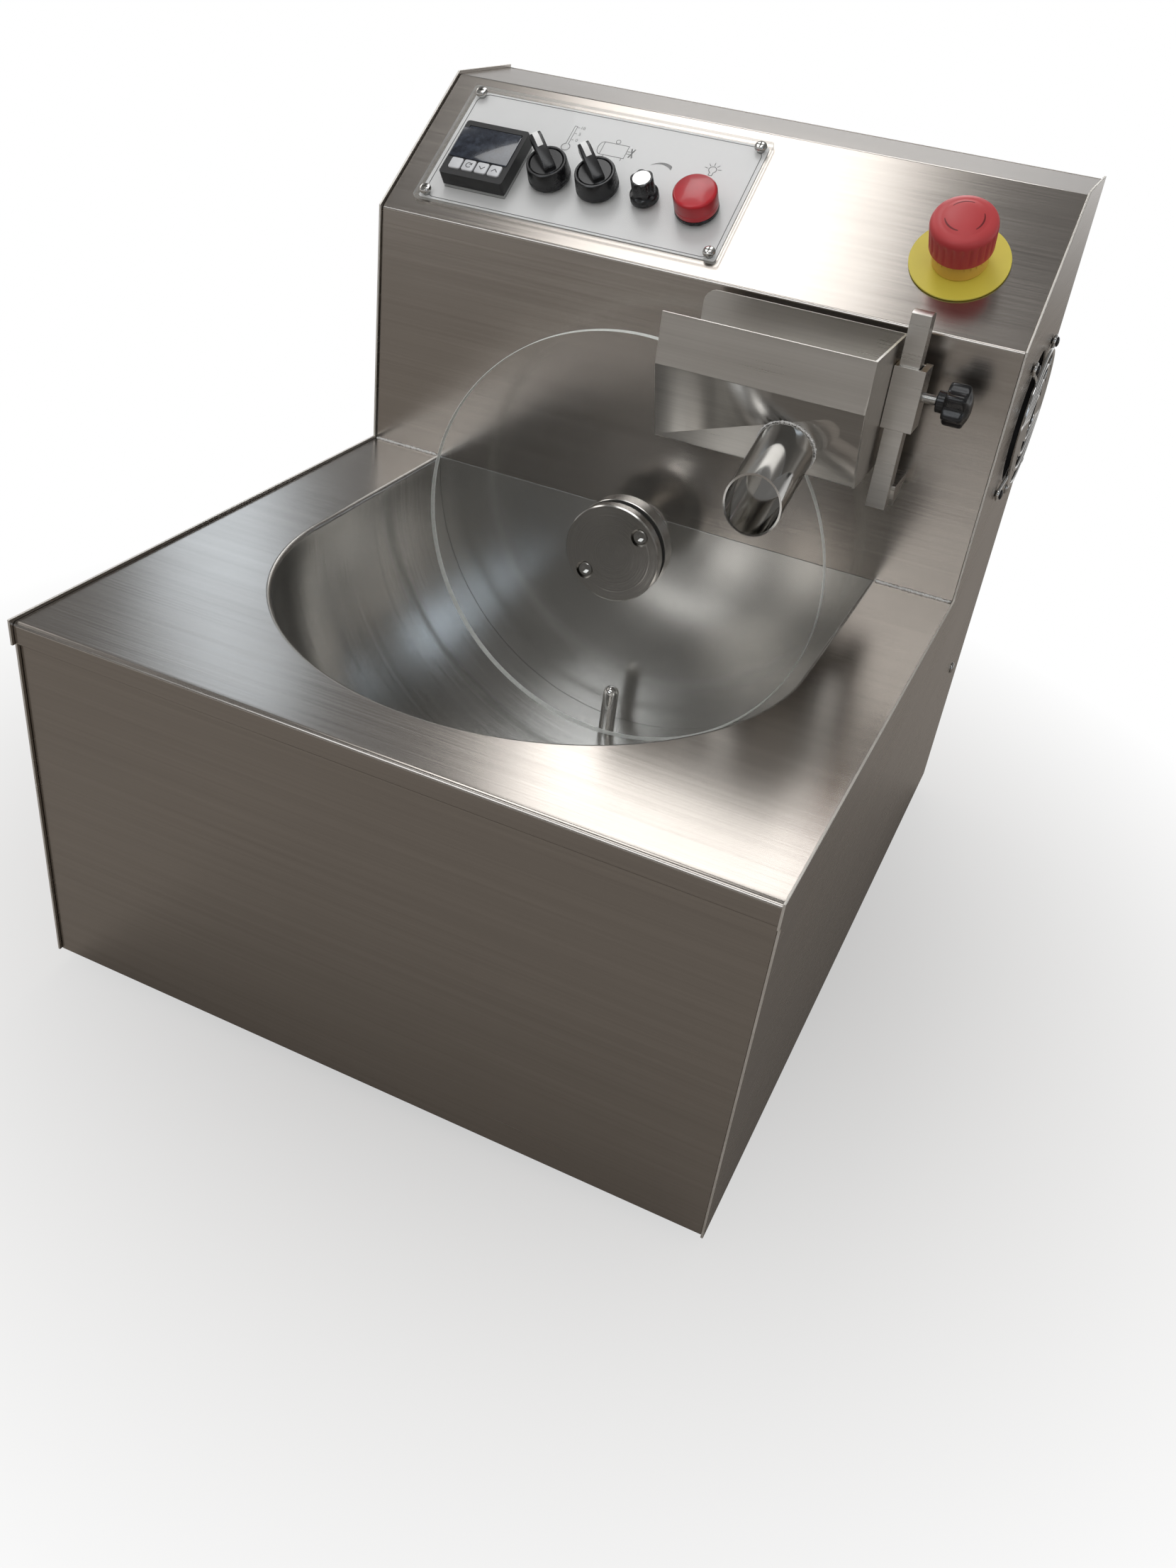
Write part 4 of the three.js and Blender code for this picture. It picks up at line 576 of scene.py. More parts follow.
# Patterns that place, turn or follow
class Pattern:
    """A tree of geometry nodes with named inputs"""

    def __init__(self, name, inputs):
        self.tree = bpy.data.node_groups.new(name, "GeometryNodeTree")
        self.tree.is_modifier = True
        self.nodes = Nodes(self.tree)
        self.add = self.nodes.add
        self.keys = {}
        for label, kind in {"Geometry": "Geometry", **inputs, "Material": "Material"}.items():
            socket = self.tree.interface.new_socket(
                label, in_out="INPUT", socket_type="NodeSocket" + kind
            )
            self.keys[label] = socket.identifier
        self.tree.interface.new_socket("Geometry", in_out="OUTPUT", socket_type="NodeSocketGeometry")
        self.given = self.tree.nodes.new("NodeGroupInput")

    def __getitem__(self, label):
        return Value(self.nodes, self.given.outputs[label])

    def close(self, geometry):
        plain = self.add("GeometryNodeRealizeInstances", {}, {"Geometry": geometry})
        painted = self.add("GeometryNodeSetMaterial", {}, {"Geometry": plain, "Material": self["Material"]})
        self.add("NodeGroupOutput", {}, {"Geometry": painted})

    def shape(self, name, base, material, **values):
        """The pattern on a base mesh or curve, as a plain mesh in millimetres"""
        thing = held(name, base)
        modifier = thing.modifiers.new("pattern", "NODES")
        modifier.node_group = self.tree
        modifier[self.keys["Material"]] = material
        for label, value in values.items():
            modifier[self.keys[label]] = value
        form = Form()
        mesh = settle(thing)
        form.mesh.from_mesh(mesh)
        bpy.data.meshes.remove(mesh)
        return form


def points_mesh(points):
    mesh = bpy.data.meshes.new("points")
    mesh.from_pydata(points, [], [])
    return mesh


def spline(paths, closed=False):
    curve = bpy.data.curves.new("paths", "CURVE")
    curve.dimensions = "3D"
    for path in paths:
        line = curve.splines.new("POLY")
        line.points.add(len(path) - 1)
        for point, at in zip(line.points, path):
            point.co = (*at, 1)
        line.use_cyclic_u = closed
    return curve


# One shape on every point
on_points = Pattern("shape on points", {"Shape": "Object", "Wobble": "Float", "Seed": "Int"})
shape = on_points.add("GeometryNodeObjectInfo", {}, {"Object": on_points["Shape"]}, "Geometry")
spread = on_points["Wobble"]
size = on_points.add(
    "FunctionNodeRandomValue", {"data_type": "FLOAT_VECTOR"},
    {
        0: on_points.add("ShaderNodeCombineXYZ", {}, {i: 1 - spread for i in range(3)}),
        1: on_points.add("ShaderNodeCombineXYZ", {}, {i: 1 + spread for i in range(3)}),
        "Seed": on_points["Seed"],
    }
)
turn = on_points.add(
    "FunctionNodeRandomValue", {"data_type": "FLOAT_VECTOR"},
    {
        0: (0.0, 0.0, 0.0),
        1: on_points.add("ShaderNodeCombineXYZ", {}, {i: spread * 6.28 for i in range(3)}),
        "Seed": on_points["Seed"] + 7,
    }
)
on_points.close(on_points.add(
    "GeometryNodeInstanceOnPoints", {},
    {"Points": on_points["Geometry"], "Instance": shape, "Rotation": turn, "Scale": size}
))


def scatter(name, form, spots, place, body, material, stands_for=(), smooth=35, wobble=0.0, seed=0):
    """One form on every spot, joined as one piece"""
    model = held("model", form.data("model"))
    copies = on_points.shape(name, points_mesh(spots), material, Shape=model, Wobble=wobble, Seed=seed)
    piece(name, copies, place, body, material, stands_for, smooth)
    bpy.data.objects.remove(model)


# Copies of one shape about the Z axis
about_axis = Pattern("shape about an axis", {"Shape": "Object", "Count": "Int"})
shape = about_axis.add("GeometryNodeObjectInfo", {}, {"Object": about_axis["Shape"]}, "Geometry")
row = about_axis.add("GeometryNodeMeshLine", {}, {"Count": about_axis["Count"], "Offset": (0, 0, 0)})
index = about_axis.add("GeometryNodeInputIndex")
step = index * (2 * math.pi) / about_axis["Count"]
about_axis.close(about_axis.add(
    "GeometryNodeInstanceOnPoints", {},
    {
        "Points": row,
        "Instance": shape,
        "Rotation": about_axis.add("ShaderNodeCombineXYZ", {}, {"Z": step}),
    }
))

# A round wire along every curve
wires = Pattern("wire along curves", {"Radius": "Float", "Sides": "Int"})
section = wires.add(
    "GeometryNodeCurvePrimitiveCircle", {}, {"Resolution": wires["Sides"], "Radius": wires["Radius"]}
)
wires.close(wires.add(
    "GeometryNodeCurveToMesh", {},
    {"Curve": wires["Geometry"], "Profile Curve": section, "Fill Caps": True}
))

# The bowl: a trough whose front closes as a ball, with a rolled rim
bowl_inputs = {
    "Radius": "Float", "Axis": "Float", "Centre": "Float", "Length": "Float", "Rim": "Float",
    "Straight": "Int", "Round": "Int", "Wall": "Int", "Edge": "Int",
}
bowl = Pattern("trough with a ball front", bowl_inputs)
columns = bowl["Straight"] * 2 + bowl["Round"] + 1
rows = bowl["Wall"] + bowl["Edge"] + 1
grid = bowl.add("GeometryNodeMeshGrid", {}, {"Vertices X": columns, "Vertices Y": rows})
index = bowl.add("GeometryNodeInputIndex")
column = ((index + 0.5) / rows).floor()
row = index - column * rows
climb = (row / bowl["Wall"]).clamped() * (math.pi / 2)
roll = ((row - bowl["Wall"]) / bowl["Edge"]).clamped() * (math.pi / 2)
half = climb.sine() * bowl["Radius"] + (1 - roll.cosine()) * bowl["Rim"]
height = bowl["Axis"] - climb.cosine() * bowl["Radius"] + roll.sine() * bowl["Rim"]
around = ((column - bowl["Straight"]) / bowl["Round"]).clamped() * math.pi
left = (1 - column / bowl["Straight"]).clamped()
right = ((column - bowl["Straight"] - bowl["Round"]) / bowl["Straight"]).clamped()
along = bowl["Centre"] - around.sine() * half + (left + right) * bowl["Length"]
spot = bowl.add("ShaderNodeCombineXYZ", {}, {0: around.cosine() * half * -1, 1: along, 2: height})
placed = bowl.add("GeometryNodeSetPosition", {}, {"Geometry": grid, "Position": spot})
merged = bowl.add("GeometryNodeMergeByDistance", {}, {"Geometry": placed, "Distance": 0.01})
bowl.close(merged)


# Housing: sheets
softened("front_panel", steel_across)
softened("riser_console", steel_across, 0.3)
# The side panels' edge faces take the cut-edge steel, lightened as painted highlight
for side in ("left", "right"):
    softened(f"side_panel_{side}", [steel_sides, cut_edge_painted_highlight], 0.3, (1, 0, 0))
softened("back_cover", steel_across)
softened("base_tray", steel_zinc)
softened("tank_back_plate", steel_bowl, 0.15)

# Housing: deck, whose front edge is rolled down and hemmed
LIP_BACK = 5
deck_low = DECK_TOP - SHEET
plate = [(-SHEET_HALF, LIP_BACK), (SHEET_HALF, LIP_BACK), (SHEET_HALF, DECK_BACK), (OPENING, DECK_BACK)]
plate += arc(OPENING, 0, -180, 160, (0, BOWL_CENTRE_Y))
plate += [(-OPENING, DECK_BACK), (-SHEET_HALF, DECK_BACK)]
deck_sheet = Form().prism(plate, deck_low, DECK_TOP)
lip = [(LIP_BACK, DECK_TOP), (4, DECK_TOP)] + arc(3, 90, 180, 10, (2, 230.5)) + [(-1, 229.5), (-1, 222.5)]
lip += arc(1.35, 180, 360, 10, (0.35, 221.35)) + [(1.7, 222.5), (1.7, 230.6)]
lip += arc(1.3, 180, 90, 4, (3, 230.7)) + [(LIP_BACK, deck_low)]
deck_sheet.add(Form().bar(lip, -SHEET_HALF, SHEET_HALF))
bmesh.ops.remove_doubles(deck_sheet.mesh, verts=deck_sheet.mesh.verts, dist=0.001)
inner = [f for f in deck_sheet.mesh.faces if all(abs(v.co.y - LIP_BACK) < 0.001 for v in f.verts)]
bmesh.ops.delete(deck_sheet.mesh, geom=inner, context="FACES_ONLY")
piece("deck_sheet", deck_sheet, machine, "housing", steel_across, ["deck"], 30)

# Housing: bowl
bowl_shape = bowl.shape(
    "bowl_surface", points_mesh([]), steel_bowl, Radius=BOWL_RADIUS, Axis=DECK_TOP - RIM,
    Centre=BOWL_CENTRE_Y, Length=DECK_BACK - BOWL_CENTRE_Y, Rim=RIM, Straight=10, Round=120, Wall=48, Edge=8
)
thing = held("bowl_wall", bowl_shape.data("bowl_wall"))
wall = thing.modifiers.new("wall", "SOLIDIFY")
wall.thickness = SHEET
wall.offset = -1.0
wall.use_even_offset = True
bowl_wall = Form()
bowl_wall.mesh.from_mesh(settle(thing))
piece("bowl_pressed", bowl_wall, machine, "housing", steel_bowl, ["tank_bowl"], 40)


# Housing: weld beads where the deck meets the riser, on both sides of the bowl, coloured near white as
# painted glint
def weld_bead(radius, half):
    return Form().turn([(0, -0.5), (radius, -half), (radius, half), (0, 0.5)], 8)


SEAM_INSET = 1.2
near, far = OPENING + SEAM_INSET, SHEET_HALF - SEAM_INSET
seam_spots = [
    (start + (end - start) * i / 90, DECK_BACK - 0.1, DECK_TOP + 0.2)
    for start, end in ((-far, -near), (near, far))
    for i in range(91)
]
scatter("weld_beads", weld_bead(1.0, 0.25), seam_spots, machine, "housing", weld_painted_glint, (), 60, 0.35, 3)

# Housing: probe, a pin with a round tip and a nut under the bowl
PROBE_RADIUS, PROBE_TIP = 5.8, 105.5
probe_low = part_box("temperature_probe")[0].z / METRES - FOOT_HEIGHT
nut_low = probe_low + 10
tip_centre = PROBE_TIP - PROBE_RADIUS
probe_rows = [(0, probe_low), (3, probe_low), (3, nut_low), (PROBE_RADIUS, nut_low)]
probe_rows += [(PROBE_RADIUS, tip_centre), *arc(PROBE_RADIUS, 15, 75, 4, (0, tip_centre)), (0, PROBE_TIP)]
probe_shape = Form().turn(probe_rows, 48)
probe_shape.add(Form().prism(circle(9.2, 6), nut_low, nut_low + 6).soften(0.4))
probe_place = machine @ Matrix.Translation((1.5, 340, 0))
piece("probe_pin", probe_shape, probe_place, "housing", steel_bright, ["temperature_probe"])

# Housing: mat, bush, inlet and the drive's fixed pieces
softened("heater_mat", silicone, 0.3)
softened("shaft_bushing", bush_white, 0.3)
softened("motor_bracket", steel_zinc, 0.3)
softened("gearbox", aluminium, 0.6)
softened("guide_post", steel_box, 0.25)
softened("power_inlet", black_matt, 0.3)

# Housing: feet
foot_rows = [(0, 0.4), (8, 0.4), (9, 0), (11.6, 0), (12.4, 0.5), (14.7, 11), (14.7, 12)]
foot_rows += [(2.5, 12), (2.5, 20.7), (0, 20.7)]
foot_spots = [(x, y, -FOOT_HEIGHT) for x in (-184, 184) for y in (36, 501.5)]
feet = [f"foot_{i}" for i in range(1, 5)]
scatter("feet", Form().turn(foot_rows, 48), foot_spots, machine, "housing", rubber, feet)

# Housing: dome screws in the right side panel, from their Y and Z
DOME_RADIUS, DOME_EDGE, DOME_RISE = 4.4, 0.5, 2.1
dome = [(0, 0.2), (DOME_RADIUS, 0.2), (DOME_RADIUS, DOME_EDGE)]
dome += oval(DOME_RADIUS, DOME_RISE, 15, 75, 4, (0, DOME_EDGE)) + [(0, DOME_EDGE + DOME_RISE)]
dome_spots = [(FAN_AT[2] - z, y - FAN_AT[1], 0.0) for y, z in ((487, 127), (488, 273))]
scatter("side_screws", Form().turn(dome, 32), dome_spots, fan_place, "housing", steel_screw)


# Wheel: clear disc with a frosted edge
DISC_RADIUS, DISC_HALF, DISC_BORE, DISC_EDGE = 143.5, 2.5, 12, 0.4
flat_radius, flat_half = DISC_RADIUS - DISC_EDGE, DISC_HALF - DISC_EDGE
disc_rows = [(DISC_BORE, -DISC_HALF), (flat_radius, -DISC_HALF), (DISC_RADIUS, -flat_half)]
disc_rows += [(DISC_RADIUS, flat_half), (flat_radius, DISC_HALF), (DISC_BORE, DISC_HALF)]
disc = Form().turn(disc_rows, 256)
for face in disc.mesh.faces:
    face.material_index = int(face.calc_center_median().xy.length > flat_radius - 0.1)
piece("disc", disc, wheel_place, "wheel", [disc_face, disc_edge], ["wheel_disc"], 30)

# Wheel: hub cap with the fine rings that a lathe leaves, and the flange behind the disc
hub_spots = [(x, -y) for x, y in arc(24.6, 43, 223, 1)]
lathe = random.Random(11)
lathe_rings = [(0.4 + 0.3 * i, -9.99 + 0.03 * lathe.random()) for i in range(108)]
cap_rows = [(0, -9.98), *lathe_rings, (33.0, -10), (33.8, -9.2), (33.8, -3.2), (33.4, -2.8)]
cap_rows += [(DISC_BORE, -2.8), (DISC_BORE, 2.4), (0, 2.4)]
bore_rows = [(0, -12), (6.1, -12), (6.1, -4.2), (0, -4.2)]
bores = [Form().turn(bore_rows, 48).move(Matrix.Translation((x, y, 0))) for x, y in hub_spots]
cap = drilled(Form().turn(cap_rows, 144), *bores)
piece("hub_front", cap, wheel_place, "wheel", steel_hub, ["hub_cap"], 5)
flange_rows = [(6, 2.8), (33.4, 2.8), (33.8, 3.2), (33.8, 13.5), (33.0, 14.3)]
flange_rows += [(15, 14.3), (15, 34.7), (14.4, 35.3), (6, 35.3)]
piece("hub_rear", Form().turn(flange_rows, 144), wheel_place, "wheel", steel_hub, ["hub_flange"], 30)

# Wheel: socket screws, shaft and motor
screw_rows = [(0, -9.2), (4.4, -9.2), (5, -8.6), (5, -4.3), (3, -4.3), (3, 6), (0, 6)]
for number, (x, y) in enumerate(hub_spots, 1):
    screw = drilled(Form().turn(screw_rows, 48), Form().prism(circle(2.9, 6), -13, -6.6))
    screw_place = wheel_place @ Matrix.Translation((x, y, 0))
    piece(f"hub_screw_{number}_head", screw, screw_place, "wheel", steel_screw, [f"hub_screw_{number}"], 30)
softened("drive_shaft", steel_bright, 0.4)
softened("drive_motor", motor_grey, 0.4)


# Carriage: scraper box and sleeve
softened("scraper_box", steel_box, 0.2)
softened("clamp_sleeve", steel_box, 0.25)

# Carriage: spout, cut upright at its mouth, and its weld, coloured near white as painted glint
SPOUT_INNER, SPOUT_OUTER, MOUTH_Y = 16.3, 17.5, 232


def spout_ring(radius, at_mouth):
    ring = []
    for x, y in circle(radius, 96):
        length = (SPOUT_AT[1] - y * math.sin(slant) - MOUTH_Y) / math.cos(slant)
        ring.append((x, y, length if at_mouth else 0.35))
    return ring


spout_ends = ((SPOUT_INNER, False), (SPOUT_OUTER, False), (SPOUT_OUTER, True), (SPOUT_INNER, True))
spout = Form().skin([spout_ring(radius, at_mouth) for radius, at_mouth in spout_ends], True)
piece("spout", spout, spout_place, "carriage", steel_bright, ["spout_tube"], 30)
weld_spots = [(x, y, 0.6) for x, y in circle(SPOUT_OUTER + 0.5, 110)]
scatter("spout_weld", weld_bead(0.75, 0.2), weld_spots, spout_place, "carriage", weld_painted_glint, (), 60, 0.3, 5)

# Clamp: screw, with a ridge of thread each millimetre
clamp_rows = [(0, -3), (2.6, -3), (3, -2.6)]
for i in range(13):
    clamp_rows += [(2.62, 0.35 + i), (3.0, 0.7 + i), (3.0, 0.95 + i), (2.62, 1.3 + i)]
clamp_rows += [(3.0, 13.8), (3.0, 28), (0, 28)]
clamp = Form().turn(clamp_rows, 32)
piece("clamp_thread", clamp, clamp_place, "clamp_screw", steel_screw, ["clamp_screw"], 30)

# Clamp: star knob, whose hollows are deepest where it is widest
knob_rows = [(0, 28.5), (3.3, 28.5), (3.3, 13.8), (6.0, 13.8), (6.5, 14.3), (6.5, 18.8), (9.5, 18.8, 1.2)]
for level, first in ((21.3, -90), (29.3, 0)):
    corners = arc(2.5, first, first + 90, 3, (10.5, level))
    knob_rows += [(*corner, 3.4 - 1.7 * abs(first + 30 * i) / 90) for i, corner in enumerate(corners)]
knob_rows += [(8.6, 32.7, 1.0), (6.5, 33.5), (4.4, 34.0), (0, 34.3)]
star = Form().turn(knob_rows, 120, scalloped(6, 0.8))
piece("star_grip", star, clamp_place, "star_knob", black_gloss, ["star_knob"], 40)


# Fan: frame and rotor
softened("fan_frame", black_matt, 0.4)
softened("fan_rotor", black_matt, 0.25)

# Fan: wire guard, of four rings on four spokes that end in eyes
WIRE = 1.2
RING_HEIGHT, SPOKE_HEIGHT, EYE_HEIGHT = 4.4, 3.3, 1.7
guard_rings = [[(x, y, RING_HEIGHT) for x, y in circle(r, 72)] for r in (44.5, 34.5, 24.5, 14.5)]
guard = wires.shape("guard_rings", spline(guard_rings, True), chrome, Radius=WIRE, Sides=12)
spoke = [(reach, 0, SPOKE_HEIGHT) for reach in (12.5, 40.5, 44.5)]
for t in (0.2, 0.4, 0.6, 0.8, 1.0):
    drop = (SPOKE_HEIGHT - EYE_HEIGHT) * (3 * t * t - 2 * t * t * t)
    spoke.append((44.5 + 10 * t, 0, SPOKE_HEIGHT - drop))
eye = [(x, y, EYE_HEIGHT) for x, y in arc(3.6, 180, 540, 24, (58.34, 0))]
spokes = []
for degrees in (45, 135, 225, 315):
    turning = Matrix.Rotation(math.radians(degrees), 3, "Z")
    spokes += [[turning @ Vector(point) for point in path] for path in (spoke, eye)]
guard.add(wires.shape("guard_spokes", spline(spokes), chrome, Radius=WIRE, Sides=12))
piece("guard_wires", guard, fan_place, "housing", chrome, ["fan_guard"], 60)

# Fan: the guard's screws
head_rows = [(0, -1.5), (1.9, -1.5), (1.9, 3.1), (3.3, 3.1), (3.3, 3.6)]
head_rows += oval(3.3, 1.2, 20, 80, 3, (0, 3.6)) + [(0, 4.8)]
head_spots = [(x, y, 0.0) for x in (-41.25, 41.25) for y in (-41.25, 41.25)]
scatter("guard_screws", Form().turn(head_rows, 32), head_spots, fan_place, "housing", black_gloss)


# Console: printed sheet, clear plate and its screws
softened("label_sheet", label_face, 0.05)
softened("cover_plate", [cover_face, cover_edge], 0.35, CONSOLE_NORMAL)
pan = [(0, -5.2), (1.7, -5), (1.7, 3.85), (4.2, 3.85), (4.2, 4.3)]
pan += [(3.9, 5.2), (3.2, 5.9), (2.2, 6.15), (0, 6.2)]
crossed = [Form().prism(rounded_box(*sides, 0.2, 2), 4.7, 8) for sides in ((4.6, 0.9), (0.9, 4.6))]
pan_spots = [(u, v, 0.0) for u in SCREWS_ACROSS for v in SCREWS_UP]
pans = [f"plate_screw_{i}" for i in range(1, 5)]
pan_head = drilled(Form().turn(pan, 48), *crossed)
scatter("plate_screws", pan_head, pan_spots, console, "housing", steel_screw, pans, 30)


# Console: print
def stroke(path, width, closed=False):
    """A flat line of ink on the sheet"""
    form = Form()
    following = path[1:] + path[:1] if closed else path[1:]
    for (x0, y0), (x1, y1) in zip(path, following):
        along = Vector((x1 - x0, y1 - y0)).normalized() * width / 2
        off = Vector((-along.y, along.x))
        corners = [
            (x0 - along.x + off.x, y0 - along.y + off.y), (x0 - along.x - off.x, y0 - along.y - off.y),
            (x1 + along.x - off.x, y1 + along.y - off.y), (x1 + along.x + off.x, y1 + along.y + off.y),
        ]
        form.prism(corners, INK_LOW, INK_HIGH)
    return form


def drawing(width, *paths):
    """Open strokes of one width in one form"""
    form = Form()
    for path in paths:
        form.add(stroke(path, width))
    return form


# Console: the print's border, that turns in to each screw
BORDER_ACROSS, BORDER_UP, BORDER_TURN = (-194.8, 14.8), (16.7, 110.6), 7
border = []
for side, end in ((0, 0), (1, 0), (1, 1), (0, 1)):
    u, v = BORDER_ACROSS[side], BORDER_UP[end]
    beside = (u, v - BORDER_TURN if end else v + BORDER_TURN)
    above = (u - BORDER_TURN if side else u + BORDER_TURN, v)
    screw_at = (SCREWS_ACROSS[side], SCREWS_UP[end])
    border += [beside, screw_at, above] if side == end else [above, screw_at, beside]
piece("print_border", stroke(border, 0.5, True), console, "housing", label_ink)

# Console: small pictures, a thermometer with its scale, a motor, a lamp with rays and a swelling line
SCALE_LEVELS = (86.8, 92.3, 97.8)
LAMP_PICTURE = (-12, 85.5)
rays = zip(arc(3.8, 10, 170, 4, LAMP_PICTURE), arc(5.6, 10, 170, 4, LAMP_PICTURE))
pictures = stroke([(-91, 79.8), (-73.4, 79.8), (-73.4, 90.6), (-91, 90.6)], 0.45, True)
for width, *paths in (
    (0.5, arc(3, 105, 435, 20, (-116, 80))),
    (0.4, [(-116.9, 83), (-116.9, 98.6), (-115.1, 98.6), (-115.1, 83)]),
    (0.4, *[[(-114.4, level), (-113.3, level)] for level in SCALE_LEVELS]),
    (0.45, oval(-3.2, 5.4, -90, 90, 12, (-91, 85.2))),
    (0.4, arc(1.6, 0, 360, 12, (-82.2, 92.6))),
    (0.45, [(-73.4, 84.2), (-70, 84.2)], [(-73.4, 86.2), (-70, 86.2)]),
    (0.45, [(-88, 79.8), (-88, 77.6)], [(-75, 79.8), (-75, 77.6)]),
    (1, [(-70.6, 81.8), (-68.4, 88.6)], [(-70.6, 88.6), (-68.4, 81.8)]),
    (0.5, arc(2.6, -55, 235, 16, LAMP_PICTURE)),
    (0.5, [(-13.2, 83.1), (-13.2, 80.6), (-10.8, 80.6), (-10.8, 83.1)], *rays),
):
    pictures.add(drawing(width, *paths))
swell = [(*point, 0.1 + 1.5 * i / 16) for i, point in enumerate(arc(10.6, 136, 48, 16, (-45.7, 71.7)))]
outer = [(u, v + half) for u, v, half in swell]
inner = [(u, v - half) for u, v, half in reversed(swell)]
pictures.add(Form().prism(outer + inner, INK_LOW, INK_HIGH))
piece("print_pictures", pictures, console, "housing", label_grey)


def figure(text, size, at):
    """Plain figures of a scale, as flat ink"""
    curve = bpy.data.curves.new("figure", "FONT")
    curve.body = text
    curve.size = size
    curve.extrude = (INK_HIGH - INK_LOW) / 2
    curve.align_x = "CENTER"
    curve.align_y = "CENTER"
    form = Form()
    form.mesh.from_mesh(settle(held("figure", curve)))
    bmesh.ops.remove_doubles(form.mesh, verts=form.mesh.verts, dist=0.001)
    return form.move(Matrix.Translation((*at, (INK_LOW + INK_HIGH) / 2)))


scale_marks = Form()
for text, level in zip(("0", "5", "10"), SCALE_LEVELS):
    scale_marks.add(figure(text, 3.6, (-110.8, level)))
piece("print_scale", scale_marks, console, "housing", label_grey, (), 0)


# Console: temperature controller and its keys
KEY_LOW, KEY_TOP, KEY_STEP = 8.6, 10.8, 9.7
case_place = on_console(CASE_AT, PLATE_TOP)
softened("controller_case", black_matt, 0.5)
pane = Form().prism(rounded_box(38.8, 23.8, 0.6, 3, (0, 7)), 9.15, 9.95)
pane.add(Form().prism(rounded_box(43.4, 25.6, 0.8, 3, (-1.2, 4.2)), 10.05, 10.5).soften(0.2))
piece("display_pane", pane, case_place, "housing", display_glass, ["controller_window"], 30)
key_signs = {
    2: drawing(0.5, arc(1.9, 20, 320, 18)).add(drawing(0.45, [(1.9, 1.9), (1.8, 0.5), (0.4, 0.6)])),
    3: drawing(0.6, [(-1.9, 0.9), (0, -1.1), (1.9, 0.9)]),
    4: drawing(0.6, [(-1.9, -0.9), (0, 1.1), (1.9, -0.9)]),
}
for number in range(1, 5):
    key = f"controller_key_{number}"
    key_place = case_place @ Matrix.Translation(((number - 2.5) * KEY_STEP, -14, 0))
    cap = Form().prism(rounded_box(8.6, 9, 1.4, 5), KEY_LOW, KEY_TOP).soften(0.5, 3)
    piece(f"key_{number}", cap, key_place, key, key_white, [key], 30)
    if number in key_signs:
        sign = key_signs[number].move(Matrix.Translation((0, 0, KEY_TOP - INK_LOW - 0.02)))
        piece(f"key_{number}_mark", sign, key_place, key, label_ink)


# Console: two selector switches
def seated(rows):
    """A control's fixed part, with its barrel, nut and contact block below the console sheet"""
    low_rows = [(0, -21.8), (11, -21.8), (11, -6.8), (14.5, -6.8), (14.5, -1.8), (11, -1.8)]
    block = Form().prism(rounded_box(28, 36, 1.5, 3), -45.8, -19.8).soften(0.5)
    return Form().turn(low_rows + rows).add(block)


switch_rows = [(11, PLATE_TOP), (14.1, PLATE_TOP), (14.4, 4.1), (14.4, 6.0), (14.15, 6.3), (14.15, 7.0)]
switch_rows += [(14.3, 7.3), (13.6, 15.4), (13.4, 16.1), (12.9, 16.4), (12.0, 16.4), (11.5, 16.1)]
switch_rows += [(11.4, 15.6), (11.4, 13.8), (5.3, 13.8), (5.3, 4.8), (0, 4.8)]
turner_rows = [(0, 5.1), (5, 5.1), (5, 14.1), (10.7, 14.1)]
turner_rows += [(11.1, 14.5), (11.1, 15.7), (10.7, 16.1), (0, 16.1)]
lever_outline = [(-9, 15.2), (10.6, 15.2), (10.6, 17.0), (17.5, 18.6), (17.5, 25.6)]
lever_outline += [(13.0, 25.6), (-5.4, 19.6), (-8.2, 18.4)]
insert_outline = [(6.6, 23.7), (13.0, 25.75), (17.64, 25.75), (17.64, 19.2)]
insert_outline += [(17.3, 19.2), (17.3, 25.4), (13.1, 25.4), (6.7, 23.35)]
for label, at in SWITCHES_AT.items():
    body, handle = f"selector_{label}_body", f"selector_{label}_handle"
    piece(f"switch_{label}_body", seated(switch_rows), on_console(at), "housing", black_gloss, [body], 30)
    turner = Form().turn(turner_rows, 72)
    turner.add(Form().bar(lever_outline, -4, 4).soften(0.7, 3))
    turner.add(Form().bar(insert_outline, -1.9, 1.9, 1))
    turned_place = on_console(at) @ Matrix.Rotation(math.radians(45), 4, "Z")
    finishes = [black_gloss, white_insert]
    piece(f"switch_{label}_lever", turner, turned_place, handle, finishes, [handle], 30)

# Console: speed control
softened("speed_potentiometer", aluminium, 0.2)
speed_rows = [(0, -2.0), (3, -2.0), (3, 6.6), (7.8, 6.6), (7.8, 4.1), (9.2, 4.1), (9.5, 4.4), (9.5, 8.0)]
speed_rows += [(9.2, 8.6), (8.6, 9.1, 0.9), (8.1, 9.4, 1.1), (7.9, 19.2, 1.1), (7.7, 20.0, 1.0)]
speed_rows += [(7.1, 20.4, 0.7), (6.2, 20.4), (0, 20.4)]
speed = Form().turn(speed_rows, 96, scalloped(6, 1.6))
speed.add(Form().turn([(0, 20.35), (6.0, 20.35), (6.0, 20.45), (5.8, 20.6), (0, 20.6)], 72, None, 1))
piece("speed_grip", speed, on_console(SPEED_AT), "speed_knob", [black_gloss, spun_cap], ["speed_knob"], 35)

